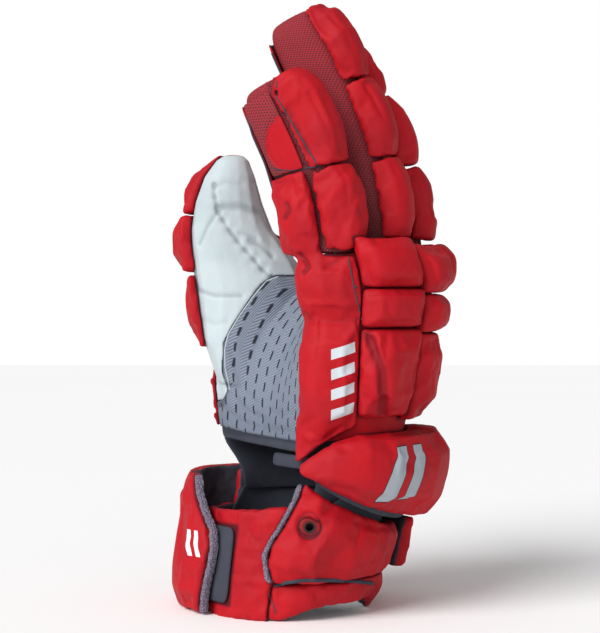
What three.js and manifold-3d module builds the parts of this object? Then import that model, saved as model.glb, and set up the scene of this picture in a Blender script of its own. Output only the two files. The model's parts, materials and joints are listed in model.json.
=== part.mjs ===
// Padded field glove for a left hand, standing on the open end of its cuff.
// Millimetres. +X is the back of the hand, -X the palm, -Y the little finger side, +Z the fingertips.
import * as THREE from 'three';
import * as BufferGeometryUtils from 'three/addons/utils/BufferGeometryUtils.js';
import Module from 'manifold-3d';

// Driving dimensions
const handWidth = 100;        // breadth that the sideways shares below follow
const handDepth = 100;        // palm to back, that the depth shares below follow
const cuffHeight = 94;        // floor to the hem of the palm
const handLength = 98;        // hem of the palm to the root of the fingers
const pinkyLength = 93;
const ringLength = 131;
const middleLength = 118;
const indexLength = 112;
const thumbLength = 132;      // from inside the hand to the tip
const gap = 0.35;             // left between pieces that touch

// Fabric and foam
const shellWall = 2.4;        // cloth, mesh and leather of the hand and thumb
const sleeveWall = 2;         // cloth of a finger
const sleeveHalfWidth = 12.4;
const sleeveHalfDepth = 18;
const sleeveSetback = 5;      // sleeve lies this far to the palm side of the finger's middle
const rollHeight = 10;        // foam above the sleeve
const rollSide = 1.5;         // foam beside the sleeve
const knuckleFoam = 12.5;
const lowKnuckleFoam = 12;
const handFoam = 13;
const sideFoam = 7.5;
const radialFoam = 6;
const thumbFoam = 14;
const thumbBaseFoam = 4;
const pocketPatch = 1.8;      // stitched patch on the side of the little finger
const palmStrip = 1.3;        // palm cloth of a finger
const tapeWidth = 7;          // dark tape along the palm hem
const tapeWall = 2;
const webbingWall = 1.6;

// Cuff
const liningWall = 2;
const liningSlack = 0.8;      // extra room between the lining and the panels
const palmPanelWall = 6;
const bandWall = 8;
const bandHeight = 20.5;
const bandRise = 8.5;         // little finger side of the band ends above the floor
const sidePanelWall = 11;
const backPanelWall = 12;
const farStandoff = 13;
const stripWall = 2.9;
const flapWall = 9.5;
const flapStandoff = 10;      // flap is held off the cuff by the strip below it
const guardFoam = 13;
const guardLining = 1.6;
const bindingWall = 7;
const stripEnds = [-78, -39]; // degrees round the cuff that the closure strip spans
const eyeletRadius = 5.6;
const eyeletBore = 1.9;

const radians = THREE.MathUtils.degToRad;
const wasm = await Module();
wasm.setup();

// Sections of the hand under its foam. Each place is [x share of handDepth, y share of handWidth].
const handColumns = ['side', 'backPinky', 'backRing', 'backMiddle', 'backIndex',
  'radial', 'thenarBack', 'thenarTip', 'palmMiddle', 'palmUlnar'];
const handSections = [
  { up: -0.16, side: [0.06, -0.48], backPinky: [0.27, -0.42], backRing: [0.43, -0.21], backMiddle: [0.46, 0.04],
    backIndex: [0.40, 0.32], radial: [0.13, 0.50], thenarBack: [-0.25, 0.50], thenarTip: [-0.50, 0.29],
    palmMiddle: [-0.30, -0.07], palmUlnar: [-0.09, -0.42] },
  { up: 0, side: [0.05, -0.49], backPinky: [0.28, -0.43], backRing: [0.46, -0.21], backMiddle: [0.49, 0.04],
    backIndex: [0.43, 0.33], radial: [0.14, 0.52], thenarBack: [-0.26, 0.52], thenarTip: [-0.53, 0.31],
    palmMiddle: [-0.28, -0.07], palmUlnar: [-0.075, -0.42] },
  { up: 0.39, side: [0.05, -0.495], backPinky: [0.31, -0.46], backRing: [0.53, -0.23], backMiddle: [0.57, 0.05],
    backIndex: [0.49, 0.36], radial: [0.20, 0.55], thenarBack: [-0.26, 0.55], thenarTip: [-0.56, 0.35],
    palmMiddle: [-0.19, -0.02], palmUlnar: [-0.05, -0.42] },
  { up: 0.62, side: [0.04, -0.49], backPinky: [0.33, -0.47], backRing: [0.57, -0.25], backMiddle: [0.61, 0.06],
    backIndex: [0.53, 0.39], radial: [0.27, 0.56], thenarBack: [-0.16, 0.56], thenarTip: [-0.50, 0.40],
    palmMiddle: [-0.07, 0], palmUlnar: [-0.035, -0.41] },
  { up: 0.86, side: [0.03, -0.48], backPinky: [0.34, -0.47], backRing: [0.59, -0.26], backMiddle: [0.65, 0.08],
    backIndex: [0.58, 0.43], radial: [0.35, 0.58], thenarBack: [0.08, 0.54], thenarTip: [-0.06, 0.38],
    palmMiddle: [0.12, 0.02], palmUlnar: [-0.035, -0.38] },
  { up: 1.09, side: [0, -0.47], backPinky: [0.28, -0.46], backRing: [0.52, -0.25], backMiddle: [0.655, 0.10],
    backIndex: [0.58, 0.45], radial: [0.37, 0.585], thenarBack: [0.22, 0.52], thenarTip: [0.18, 0.36],
    palmMiddle: [0.17, 0.04], palmUlnar: [-0.05, -0.34] },
];

// Thumb sections: up is a share of thumbLength, the rest are shares of handDepth and handWidth.
const thumbStart = 0.26;      // share of handLength above the hem where the thumb loft begins
const thumbSections = [
  { up: 0, x: -0.29, y: 0.30, halfX: 0.25, halfY: 0.17 },
  { up: 0.25, x: -0.36, y: 0.35, halfX: 0.285, halfY: 0.185 },
  { up: 0.41, x: -0.345, y: 0.36, halfX: 0.33, halfY: 0.18 },
  { up: 0.53, x: -0.39, y: 0.365, halfX: 0.30, halfY: 0.17 },
  { up: 0.67, x: -0.465, y: 0.375, halfX: 0.235, halfY: 0.17 },
  { up: 0.79, x: -0.482, y: 0.385, halfX: 0.193, halfY: 0.16 },
  { up: 0.90, x: -0.476, y: 0.39, halfX: 0.146, halfY: 0.135 },
  { up: 0.97, x: -0.460, y: 0.39, halfX: 0.095, halfY: 0.09 },
  { up: 1, x: -0.455, y: 0.39, halfX: 0.04, halfY: 0.045 },
];

// Cuff sections: up is a share of cuffHeight, the rest are shares of handDepth and handWidth.
const cuffSections = [
  { up: 0, x: -0.135, y: 0, halfX: 0.395, halfY: 0.45 },
  { up: 0.22, x: -0.11, y: 0, halfX: 0.42, halfY: 0.455 },
  { up: 0.53, x: -0.063, y: 0.01, halfX: 0.447, halfY: 0.465 },
  { up: 0.85, x: 0.015, y: 0.025, halfX: 0.525, halfY: 0.49 },
  { up: 1.12, x: 0.04, y: 0.025, halfX: 0.56, halfY: 0.53 },
];

// Curl that all fingers share: up and reach are shares of the finger's length, lean is in degrees.
const fingerCurl = [
  { up: 0, reach: 0, lean: 0 },
  { up: 0.23, reach: -0.026, lean: 9 },
  { up: 0.47, reach: -0.078, lean: 14 },
  { up: 0.73, reach: -0.168, lean: 21 },
  { up: 1, reach: -0.29, lean: 26 },
];

// Rounding of a fingertip: how much of the section is left near the end.
const fingerTaper = [
  { along: 0, keep: 1 }, { along: 0.2, keep: 1 }, { along: 0.4, keep: 1 }, { along: 0.6, keep: 1 },
  { along: 0.8, keep: 0.99 }, { along: 0.92, keep: 0.96 }, { along: 0.98, keep: 0.86 }, { along: 1, keep: 0.7 },
];

const fingers = [
  { name: 'pinky', x: 0.095, y: -0.38, length: pinkyLength, turn: 32, curl: 1.12, wrap: [-62, 42],
    rolls: [[0.09, 0.475], [0.49, 1]] },
  { name: 'ring', x: 0.345, y: -0.14, length: ringLength, turn: 20, curl: 1.1, wrap: [-42, 42],
    rolls: [[0.07, 0.375], [0.39, 0.685], [0.70, 1]] },
  { name: 'middle', x: 0.49, y: 0.14, length: middleLength, turn: 6, curl: 1.36, wrap: [-42, 42],
    rolls: [[0.07, 0.39], [0.405, 0.70], [0.715, 1]] },
  { name: 'index', x: 0.40, y: 0.42, length: indexLength, turn: -10, curl: 1.25, wrap: [-42, 42],
    rolls: [[0.075, 0.40], [0.415, 0.70], [0.715, 1]] },
];

const colours = {
  red: 0xc62931,
  meshRed: 0x8c3535,
  white: 0xd0dde0,
  greyMesh: 0x6b7480,
  charcoal: 0x3d3f44,
  terry: 0x62596a,
};

const group = new THREE.Group();

function material(colour) {
  return new THREE.MeshStandardMaterial({ color: colour, roughness: 0.85, metalness: 0 });
}

function addMesh(name, geometry, colour) {
  const mesh = new THREE.Mesh(geometry, material(colour));
  mesh.name = name;
  group.add(mesh);
  return mesh;
}

// Smooth value between rows of a table, by Catmull and Rom's spline on uneven steps.
function smoothRow(rows, key, read, at) {
  let i = 0;
  while (i < rows.length - 2 && at > rows[i + 1][key]) {
    i += 1;
  }
  const before = rows[Math.max(i - 1, 0)];
  const low = rows[i];
  const high = rows[i + 1];
  const after = rows[Math.min(i + 2, rows.length - 1)];
  const span = high[key] - low[key];
  const t = (at - low[key]) / span;
  const slopeLow = (read(high) - read(before)) / (high[key] - before[key]) * span;
  const slopeHigh = (read(after) - read(low)) / (after[key] - low[key]) * span;
  if (t < 0 || t > 1) {
    return t < 0 ? read(low) + slopeLow * t : read(high) + slopeHigh * (t - 1);
  }
  const t2 = t * t;
  const t3 = t2 * t;
  return (2 * t3 - 3 * t2 + 1) * read(low) + (t3 - 2 * t2 + t) * slopeLow
    + (3 * t2 - 2 * t3) * read(high) + (t3 - t2) * slopeHigh;
}

// Height above the floor for a share of the hand, of the cuff and of the thumb.
const handUp = (share) => cuffHeight + handLength * share;
const cuffUp = (share) => cuffHeight * share;
const thumbUp = (share) => handUp(thumbStart) + thumbLength * share;

// Closed outline of the hand at one height, as a curve through its ten named places.
const handCurves = new Map();
function handCurve(up) {
  if (!handCurves.has(up)) {
    const places = handColumns.map((column) => new THREE.Vector3(
      smoothRow(handSections, 'up', (row) => row[column][0], up) * handDepth,
      smoothRow(handSections, 'up', (row) => row[column][1], up) * handWidth, 0));
    handCurves.set(up, new THREE.CatmullRomCurve3(places, true, 'centripetal'));
  }
  return handCurves.get(up);
}

// Point over the hand: around counts the named places, up is a share of handLength, out is off the cloth.
function handPoint(around, up, out) {
  const curve = handCurve(up);
  const count = handColumns.length;
  const t = (((around % count) + count) % count) / count;
  const step = 0.004;
  const p = curve.getPoint(t);
  const ahead = curve.getPoint((t + step) % 1);
  const behind = curve.getPoint((t + 1 - step) % 1);
  const tangent = ahead.sub(behind).normalize();
  return new THREE.Vector3(p.x + tangent.y * out, p.y - tangent.x * out, handUp(up));
}

// Rounded outline with half sizes a and b. The angle starts on +b and the power squares the corners.
function roundedPlace(angle, a, b, power) {
  const s = Math.sin(angle);
  const c = Math.cos(angle);
  const r = (Math.abs(s / a) ** power + Math.abs(c / b) ** power) ** (-1 / power);
  return [r * s, r * c];
}

// Point over the thumb: the angle is 0 at the back (+Y) and 90 degrees towards -X.
function thumbPoint(degrees, up, out) {
  const read = (key) => smoothRow(thumbSections, 'up', (row) => row[key], up);
  const [s, c] = roundedPlace(radians(degrees), read('halfX') * handDepth + out, read('halfY') * handWidth + out, 2.4);
  return new THREE.Vector3(read('x') * handDepth - s, read('y') * handWidth + c, thumbUp(up));
}

// Point over the cuff: the angle is 0 at the little finger side (-Y), 90 degrees at the back (+X).
function cuffPoint(degrees, up, out) {
  const read = (key) => smoothRow(cuffSections, 'up', (row) => row[key], up);
  const [s, c] = roundedPlace(radians(degrees), read('halfX') * handDepth + out, read('halfY') * handWidth + out, 2.15);
  return new THREE.Vector3(read('x') * handDepth + s, read('y') * handWidth - c, cuffUp(up));
}

// Frame of a finger's section: its middle, its back direction and its sideways direction.
function fingerFrame(finger, along) {
  const read = (key) => smoothRow(fingerCurl, 'up', (row) => row[key], along);
  const lean = radians(read('lean'));
  const turn = radians(finger.turn);
  const middle = new THREE.Vector3(finger.x * handDepth + read('reach') * finger.curl * finger.length,
    finger.y * handWidth, handUp(1) + gap + read('up') * finger.length);
  const axis = new THREE.Vector3(-Math.sin(lean), 0, Math.cos(lean));
  const flatBack = new THREE.Vector3(Math.cos(turn), -Math.sin(turn), 0);
  const back = flatBack.addScaledVector(axis, -flatBack.dot(axis)).normalize();
  const side = new THREE.Vector3().crossVectors(axis, back);
  return { middle, back, side };
}

// Point over a finger's sleeve: 0 degrees at the back, 90 degrees on the thumb side.
function fingerPoint(finger, degrees, along, out, foam) {
  const { middle, back, side } = fingerFrame(finger, along);
  const keep = smoothRow(fingerTaper, 'along', (row) => row.keep, along);
  const angle = radians(degrees);
  const deep = Math.cos(angle) > 0 ? sleeveHalfDepth + foam * rollHeight : sleeveHalfDepth;
  const [s, c] = roundedPlace(angle, (sleeveHalfWidth + foam * rollSide) * keep + out, deep * keep + out, 2.8);
  return middle.clone().addScaledVector(back, c - sleeveSetback).addScaledVector(side, s);
}

// Closed body from points and faces, turned outwards.
function closedBody(points, faces) {
  let volume = 0;
  for (const [a, b, c] of faces) {
    volume += points[a].dot(new THREE.Vector3().crossVectors(points[b], points[c]));
  }
  const index = volume > 0 ? faces.flat() : faces.map(([a, b, c]) => [a, c, b]).flat();
  const geometry = new THREE.BufferGeometry();
  geometry.setAttribute('position', new THREE.Float32BufferAttribute(points.flatMap((p) => [p.x, p.y, p.z]), 3));
  geometry.setIndex(index);
  return geometry;
}

// Two triangles of a quad.
const quad = (a, b, c, d) => [[a, b, c], [a, c, d]];

// Solid between closed rings, capped by a fan at both ends.
function loft(rings) {
  const points = rings.flat();
  const count = rings[0].length;
  const faces = [];
  for (let i = 0; i < rings.length - 1; i += 1) {
    for (let j = 0; j < count; j += 1) {
      const k = (j + 1) % count;
      faces.push(...quad(i * count + j, i * count + k, (i + 1) * count + k, (i + 1) * count + j));
    }
  }
  for (const [start, flip] of [[0, true], [(rings.length - 1) * count, false]]) {
    const ring = points.slice(start, start + count);
    const hub = points.length;
    points.push(ring.reduce((sum, p) => sum.add(p), new THREE.Vector3()).divideScalar(count));
    for (let j = 0; j < count; j += 1) {
      const pair = [start + j, start + (j + 1) % count];
      faces.push(flip ? [hub, pair[1], pair[0]] : [hub, pair[0], pair[1]]);
    }
  }
  return closedBody(points, faces);
}

// Hollow tube between outer and inner rings. A closed one ends in a cap at its last ring.
function tube(outer, inner, closed) {
  const count = outer[0].length;
  const points = [...outer.flat(), ...inner.flat()];
  const innerStart = outer.length * count;
  const faces = [];
  const walls = (start, rows, flip) => {
    for (let i = 0; i < rows - 1; i += 1) {
      for (let j = 0; j < count; j += 1) {
        const k = (j + 1) % count;
        const [a, b] = [start + i * count + j, start + i * count + k];
        const [c, d] = [b + count, a + count];
        faces.push(...(flip ? quad(a, d, c, b) : quad(a, b, c, d)));
      }
    }
  };
  walls(0, outer.length, false);
  walls(innerStart, inner.length, true);
  const rim = (from, to, flip) => {
    for (let j = 0; j < count; j += 1) {
      const k = (j + 1) % count;
      faces.push(...(flip ? quad(from + j, to + j, to + k, from + k) : quad(from + j, from + k, to + k, to + j)));
    }
  };
  rim(0, innerStart, true);
  const outerTop = (outer.length - 1) * count;
  const innerTop = innerStart + (inner.length - 1) * count;
  if (closed) {
    for (const [start, flip] of [[outerTop, false], [innerTop, true]]) {
      const hub = points.length;
      const ring = points.slice(start, start + count);
      points.push(ring.reduce((sum, p) => sum.add(p), new THREE.Vector3()).divideScalar(count));
      for (let j = 0; j < count; j += 1) {
        const pair = [start + j, start + (j + 1) % count];
        faces.push(flip ? [hub, pair[1], pair[0]] : [hub, pair[0], pair[1]]);
      }
    }
  } else {
    rim(outerTop, innerTop, false);
  }
  return closedBody(points, faces);
}

// Pillow on a carrier. The carrier gives a point for (across, up, out); columns and rows count the cells.
function pad(carrier, shape) {
  const { left, right, low, high, foam, edge = 0.45, lift = () => gap, columns = 7, rows = 4 } = shape;
  const share = (value, t) => (typeof value === 'function' ? value(t) : value);
  const points = [];
  const crown = (t) => 1 - Math.abs(2 * t - 1) ** 4;
  for (const layer of [0, 1]) {
    for (let i = 0; i <= rows; i += 1) {
      for (let j = 0; j <= columns; j += 1) {
        const s = j / columns;
        const t = i / rows;
        const across = THREE.MathUtils.lerp(share(left, t), share(right, t), s);
        const up = THREE.MathUtils.lerp(share(low, s), share(high, s), t);
        const swell = edge + (1 - edge) * Math.sqrt(crown(s) * crown(t));
        const thick = (typeof foam === 'function' ? foam(s, t) : foam) * swell;
        points.push(carrier(across, up, lift(s, t) + layer * thick));
      }
    }
  }
  return closedBody(points, sheetFaces(columns, rows));
}

// Faces of a closed sheet whose two layers are grids of the same size.
function sheetFaces(columns, rows) {
  const width = columns + 1;
  const layer = width * (rows + 1);
  const at = (i, j, k) => k * layer + i * width + j;
  const faces = [];
  for (let i = 0; i < rows; i += 1) {
    for (let j = 0; j < columns; j += 1) {
      faces.push(...quad(at(i, j, 1), at(i, j + 1, 1), at(i + 1, j + 1, 1), at(i + 1, j, 1)));
      faces.push(...quad(at(i, j, 0), at(i + 1, j, 0), at(i + 1, j + 1, 0), at(i, j + 1, 0)));
    }
  }
  for (let j = 0; j < columns; j += 1) {
    faces.push(...quad(at(0, j, 0), at(0, j + 1, 0), at(0, j + 1, 1), at(0, j, 1)));
    faces.push(...quad(at(rows, j, 0), at(rows, j, 1), at(rows, j + 1, 1), at(rows, j + 1, 0)));
  }
  for (let i = 0; i < rows; i += 1) {
    faces.push(...quad(at(i, 0, 0), at(i, 0, 1), at(i + 1, 0, 1), at(i + 1, 0, 0)));
    faces.push(...quad(at(i, columns, 0), at(i + 1, columns, 0), at(i + 1, columns, 1), at(i, columns, 1)));
  }
  return faces;
}

// Exact solid of a closed mesh, for the joins and cuts below.
function solid(geometry) {
  const plain = geometry.clone();
  plain.deleteAttribute('normal');
  plain.deleteAttribute('uv');
  const merged = BufferGeometryUtils.mergeVertices(plain, 1e-4);
  return new wasm.Manifold(new wasm.Mesh({
    numProp: 3,
    vertProperties: new Float32Array(merged.attributes.position.array),
    triVerts: new Uint32Array(merged.index.array),
  }));
}

function geometryOf(body) {
  const mesh = body.getMesh();
  const geometry = new THREE.BufferGeometry();
  geometry.setAttribute('position', new THREE.BufferAttribute(new Float32Array(mesh.vertProperties), 3));
  geometry.setIndex(new THREE.BufferAttribute(new Uint32Array(mesh.triVerts), 1));
  return geometry;
}

// Prism seen from the little finger side: an outline of [x, z] places, between two depths in Y.
function sidePrism(outline, fromY, toY) {
  const shape = new THREE.Shape(outline.map(([x, z]) => new THREE.Vector2(x, z)));
  const geometry = new THREE.ExtrudeGeometry(shape, { depth: toY - fromY, bevelEnabled: false });
  geometry.rotateX(Math.PI / 2);
  geometry.translate(0, toY, 0);
  return solid(geometry);
}

const range = (count) => [...Array(count).keys()];

// Shell of hand and thumb

const handSides = 30;
const thumbSides = 16;

function handBody(out, lowest, highest) {
  const steps = 5;
  return solid(loft(range(steps + 1).map((i) => range(handSides).map((j) => handPoint(
    j * handColumns.length / handSides, THREE.MathUtils.lerp(lowest, highest, i / steps), out)))));
}

function thumbBody(out) {
  const heights = [0, 0.2, 0.41, 0.53, 0.67, 0.79, 0.9, 0.97, 0.99];
  const drop = out < 0 ? out / thumbLength : 0;
  return solid(loft(heights.map((up) => range(thumbSides).map((j) => thumbPoint(
    j * 360 / thumbSides, up > 0.9 ? up + drop : up, out)))));
}

const overrun = 0.02;
const handOuter = handBody(0, 0, 1);
const thumbOuter = thumbBody(0);
const shell = handOuter.add(thumbOuter).subtract(
  handBody(-shellWall, -overrun, 1 + overrun).add(thumbBody(-shellWall)));

// Palm side of the shell: everything near the viewer of the palm, up to the thumb's middle
const palmReach = 0.30 * handDepth;
const palmEdge = -0.065 * handDepth;
const thumbSplit = 0.375 * handWidth;
const ulnarSplit = -0.33 * handWidth;
const farBelow = handUp(-overrun * 2);
const farAbove = thumbUp(1) + gap;
const outside = handWidth;

function palmZone(kerf) {
  const leftBlock = sidePrism([[-outside, farBelow], [palmEdge + kerf, farBelow],
    [palmEdge + kerf, farAbove], [-outside, farAbove]], -outside, thumbSplit + kerf);
  const hollowBlock = sidePrism([[palmEdge - kerf * 2, farBelow], [palmReach, farBelow],
    [palmReach, farAbove], [palmEdge - kerf * 2, farAbove]], ulnarSplit - kerf, thumbSplit + kerf);
  return leftBlock.add(hollowBlock);
}

// Outline of the mesh panel, from the web of the thumb down to the hem: [x share, up share of the hand]
const meshOutline = [[0.31, 0.90], [-0.22, 0.89], [-0.29, 0.845], [-0.35, 0.765], [-0.45, 0.61], [-0.50, 0.51],
  [-0.507, 0.33], [-0.475, 0.23], [-0.50, 0.155], [-0.62, 0.10], [-0.62, -0.1], [0.31, -0.1]];

// Outline moved outwards by a distance, corner by corner.
function grownOutline(outline, grow) {
  const count = outline.length;
  const edgeNormal = ([x0, z0], [x1, z1]) => new THREE.Vector2(z1 - z0, x0 - x1).normalize();
  const turning = outline.reduce((sum, [x, z], i) => {
    const [nextX, nextZ] = outline[(i + 1) % count];
    return sum + x * nextZ - nextX * z;
  }, 0);
  return outline.map((place, i) => {
    const before = edgeNormal(outline[(i + count - 1) % count], place);
    const after = edgeNormal(place, outline[(i + 1) % count]);
    const away = before.add(after);
    away.multiplyScalar(2 / away.lengthSq() * grow * Math.sign(turning));
    return [place[0] + away.x, place[1] + away.y];
  });
}

function meshZone(grow) {
  return sidePrism(grownOutline(meshOutline.map(([x, up]) => [x * handDepth, handUp(up)]), grow), -outside, outside);
}

const palmShell = shell.intersect(palmZone(0));
addMesh('hand_back', geometryOf(shell.subtract(palmZone(gap))), colours.red);
addMesh('palm_mesh', geometryOf(palmShell.intersect(meshZone(0))), colours.greyMesh);

// The leather is the rest of the palm side. A strip of it below the fingers is apart from the thumb.
const stripLeft = -0.046 * handDepth;
const stripLow = 0.75;
function stripZone(grow) {
  return sidePrism([[stripLeft - grow, handUp(stripLow)], [palmReach, handUp(stripLow)], [palmReach, farAbove],
    [stripLeft - grow, farAbove]], -outside, outside);
}
const leather = palmShell.subtract(meshZone(gap));
addMesh('thumb_leather', geometryOf(leather.subtract(stripZone(gap))), colours.white);
addMesh('palm_leather', geometryOf(leather.intersect(stripZone(0))), colours.white);

// Fingers

const sleeveSides = 16;
const sleeveStep = 360 / sleeveSides;
const sleeveRows = [0, 0.3, 0.6, 0.86, 0.95, 1];

// Places between two values that keep to the sleeve's own angles or rows, so that both lie parallel.
const between = (low, high, stops) => [low, ...stops.filter((stop) => stop > low + 0.01 && stop < high - 0.01), high];
const stepsOf = (size) => range(720 / size + 1).map((i) => i * size - 360);
const wholeSteps = stepsOf(sleeveStep);
const halfSteps = stepsOf(sleeveStep / 2);

// Closed sheet on a finger's sleeve between lists of angles and rows.
function sleeveSheet(finger, angles, rows, foam, edge) {
  const points = [];
  for (const layer of [0, 1]) {
    rows.forEach((along, i) => angles.forEach((degrees, j) => {
      const crown = Math.sqrt((1 - Math.abs(2 * i / (rows.length - 1) - 1) ** 4)
        * (1 - Math.abs(2 * j / (angles.length - 1) - 1) ** 4));
      points.push(fingerPoint(finger, degrees, along, gap * 2 + layer * foam * (edge + (1 - edge) * crown), 0));
    }));
  }
  return closedBody(points, sheetFaces(angles.length - 1, rows.length - 1));
}

// Foam roll that wraps the back of a finger. Its ends are pinched by the stitching.
function rollBody(finger, low, high) {
  const pinch = 0.42;
  const angles = between(finger.wrap[0], finger.wrap[1], halfSteps);
  const rows = high === 1 ? between(low, 1, [(low + 0.86) / 2, 0.86, 0.95])
    : range(5).map((i) => THREE.MathUtils.lerp(low, high, i / 4));
  const points = [];
  for (const layer of [0, 1]) {
    rows.forEach((along) => angles.forEach((degrees) => {
      const t = (along - low) / (high - low);
      const swell = 1 - pinch * Math.abs(2 * t - 1) ** 3;
      const base = fingerPoint(finger, degrees, along, gap, 0);
      points.push(base.lerp(fingerPoint(finger, degrees, along, 0, 1), layer * swell));
    }));
  }
  return closedBody(points, sheetFaces(angles.length - 1, rows.length - 1));
}

for (const finger of fingers) {
  const endWall = sleeveWall / finger.length;
  const ring = (along, out) => range(sleeveSides).map((j) => fingerPoint(finger, j * sleeveStep, along, out, 0));
  addMesh(`${finger.name}_sleeve`, tube(sleeveRows.map((along) => ring(along, 0)),
    sleeveRows.map((along) => ring(along > 0.9 ? along - endWall : along, -sleeveWall)), true), colours.meshRed);
  addMesh(`${finger.name}_palm`, sleeveSheet(finger, between(150, 210, wholeSteps), between(0.005, 0.95, sleeveRows),
    palmStrip, 0.9), colours.charcoal);
  finger.rolls.forEach(([low, high], i) => {
    addMesh(`${finger.name}_roll_${i + 1}`, rollBody(finger, low, high), colours.red);
  });
}

const pinky = fingers[0];
addMesh('pinky_patch', sleeveSheet(pinky, between(-145, -64, halfSteps), between(0.5, 0.95, [0.6, 0.7, 0.86]),
  pocketPatch, 0.5), colours.red);
addMesh('side_pad_upper', sleeveSheet(pinky, between(-145, -64, halfSteps), between(0.005, 0.485, [0.15, 0.3, 0.4]),
  sideFoam, 0.4), colours.red);

// Foam on the hand: across counts the named places of the hand's outline

const knuckleColumns = [
  { name: 'pinky', left: 0.72, right: 1.74, rise: 0.02 }, { name: 'ring', left: 1.78, right: 2.62, rise: -0.01 },
  { name: 'middle', left: 2.66, right: 3.54, rise: -0.01 }, { name: 'index', left: 3.58, right: 4.46, rise: 0 },
];
const knuckleRows = [
  { name: 'knuckle', low: 0.815, high: 1.075, foam: knuckleFoam },
  { name: 'low_knuckle', low: 0.60, high: 0.80, foam: lowKnuckleFoam },
  { name: 'hand_pad', low: 0.12, high: 0.585, foam: handFoam },
];

for (const row of knuckleRows) {
  for (const column of knuckleColumns) {
    addMesh(`${row.name}_${column.name}`, pad(handPoint, { left: column.left, right: column.right,
      low: row.low + column.rise, high: row.high + column.rise, foam: row.foam, edge: 0.5,
      columns: 5, rows: 4 }), colours.red);
  }
}

addMesh('side_pad_middle', pad(handPoint, { left: -0.93, right: 0.68, low: 0.67, high: 0.995, foam: sideFoam,
  columns: 6, rows: 4 }), colours.red);
addMesh('side_pad_lower', pad(handPoint, { left: -0.93, right: 0.68, low: (s) => THREE.MathUtils.lerp(-0.12, 0.09, s),
  high: 0.655, foam: sideFoam, columns: 6, rows: 5 }), colours.red);
addMesh('radial_pad', pad(handPoint, { left: 4.5, right: 5.45, low: 0.1, high: 0.99, foam: radialFoam,
  columns: 5, rows: 5 }), colours.red);

// Thumb foam

const grownHand = handBody(gap, -overrun, 1 + overrun);
const grownThumb = thumbBody(gap);
const thumbPadSink = 1;       // pads start this far inside the leather and are cut back to it
const thumbPads = [
  { right: 84, low: 0.745, high: 1.0, foam: (s, t) => thumbFoam * (1.15 - 0.45 * t) },
  { right: 100, low: 0.49, high: 0.73, foam: thumbFoam },
  { right: 100, low: 0.17, high: 0.475, foam: thumbFoam * 0.6 },
];
thumbPads.forEach(({ right, low, high, foam }, i) => {
  const body = pad(thumbPoint, { left: -38, right, low, high, foam, edge: 0.5, lift: () => -thumbPadSink,
    columns: 6, rows: 3 });
  addMesh(`thumb_pad_${i + 1}`, geometryOf(solid(body).subtract(grownHand).subtract(grownThumb)), colours.red);
});
addMesh('thumb_base_pad', geometryOf(solid(pad(handPoint, { left: 5.5, right: 7.0, low: 0.02, high: 0.40,
  foam: thumbBaseFoam, lift: () => gap * 2, columns: 5, rows: 3 })).subtract(grownThumb)), colours.red);

// Tape and cloth under the palm hem

const tapeHigh = -gap / handLength;
const tapeLow = -tapeWidth / handLength;
addMesh('hem_tape', pad(handPoint, { left: 6.95, right: 9.05, low: tapeLow, high: tapeHigh, foam: tapeWall, edge: 0.9,
  lift: () => -tapeWall, columns: 10, rows: 1 }), colours.charcoal);

addMesh('wrist_webbing', pad(handPoint, { left: 8.3, right: 9.35, low: -0.15, high: tapeLow - gap / handLength,
  foam: webbingWall, edge: 0.9, lift: () => -tapeWall - gap, columns: 6, rows: 2 }), colours.charcoal);

// Liner that joins the hand to the cuff inside, all round but for the palm side

const linerLow = 0.64;
const linerKnee = 0.79;       // share of cuffHeight where the liner leaves the cuff for the hand
const linerHigh = -0.006;
const linerInset = liningWall + liningSlack + gap * 2;
function linerPoint(share, up, out) {
  const onCuff = (height) => cuffPoint(THREE.MathUtils.lerp(2, 238, share), height, out - linerInset);
  if (up < 0.5) {
    return onCuff(THREE.MathUtils.lerp(linerLow, linerKnee, up * 2));
  }
  return onCuff(linerKnee).lerp(handPoint(THREE.MathUtils.lerp(0.1, 6.85, share), linerHigh, out), up * 2 - 1);
}
addMesh('wrist_liner', pad(linerPoint, { left: 0, right: 1, low: 0, high: 1, foam: liningWall, edge: 0.9,
  lift: () => -liningWall - gap, columns: 16, rows: 2 }), colours.charcoal);

// Cuff: across is in degrees from the little finger side, up is a share of cuffHeight

const turnStart = -127;       // far end of the palm panel, under the flap
const smooth = THREE.MathUtils.smoothstep;

// Lower edge of the wrist guard, which the side panel follows.
const guardEdge = (degrees) => 0.55 + 0.28 * Math.max(0, 1 - (degrees + 4.4) / 92.4) ** 2.2;

// Height of the band's lower edge, which clears the floor on the little finger side.
const bandRiseAt = (degrees) => bandRise / cuffHeight * smooth(degrees, -12, 24) * (1 - smooth(degrees, 60, 90));
const liningTop = (degrees) => 0.52 + 0.245 * (smooth(degrees, 0, 30) - smooth(degrees, 226, 242));

function ringAt(degreesCount, at) {
  return range(degreesCount).map((j) => at(j * 360 / degreesCount));
}

const liningSides = 22;
const liningRings = (out) => [0, 0.33, 0.66, 1].map((t) => ringAt(liningSides, (degrees) => cuffPoint(degrees,
  THREE.MathUtils.lerp(0.02 + bandRiseAt(degrees), liningTop(degrees), t), out - liningSlack)));
addMesh('cuff_lining', tube(liningRings(0), liningRings(-liningWall), false), colours.charcoal);

const bandTop = bandHeight / cuffHeight;
const sideGap = gap / cuffHeight;
const palmPanelLow = pad(cuffPoint, { left: turnStart, right: -12.6, low: 0,
  high: (s) => 0.56 + 0.075 * s ** 1.5, foam: palmPanelWall, edge: 1, columns: 9, rows: 3 });
const palmPanelHigh = pad(cuffPoint, { left: -14, right: -0.5, low: bandTop + sideGap,
  high: (s) => 0.632 - 0.06 * s * s, foam: palmPanelWall, edge: 1, columns: 2, rows: 2 });
addMesh('cuff_palm_panel', geometryOf(solid(palmPanelLow).add(solid(palmPanelHigh))), colours.red);

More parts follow.
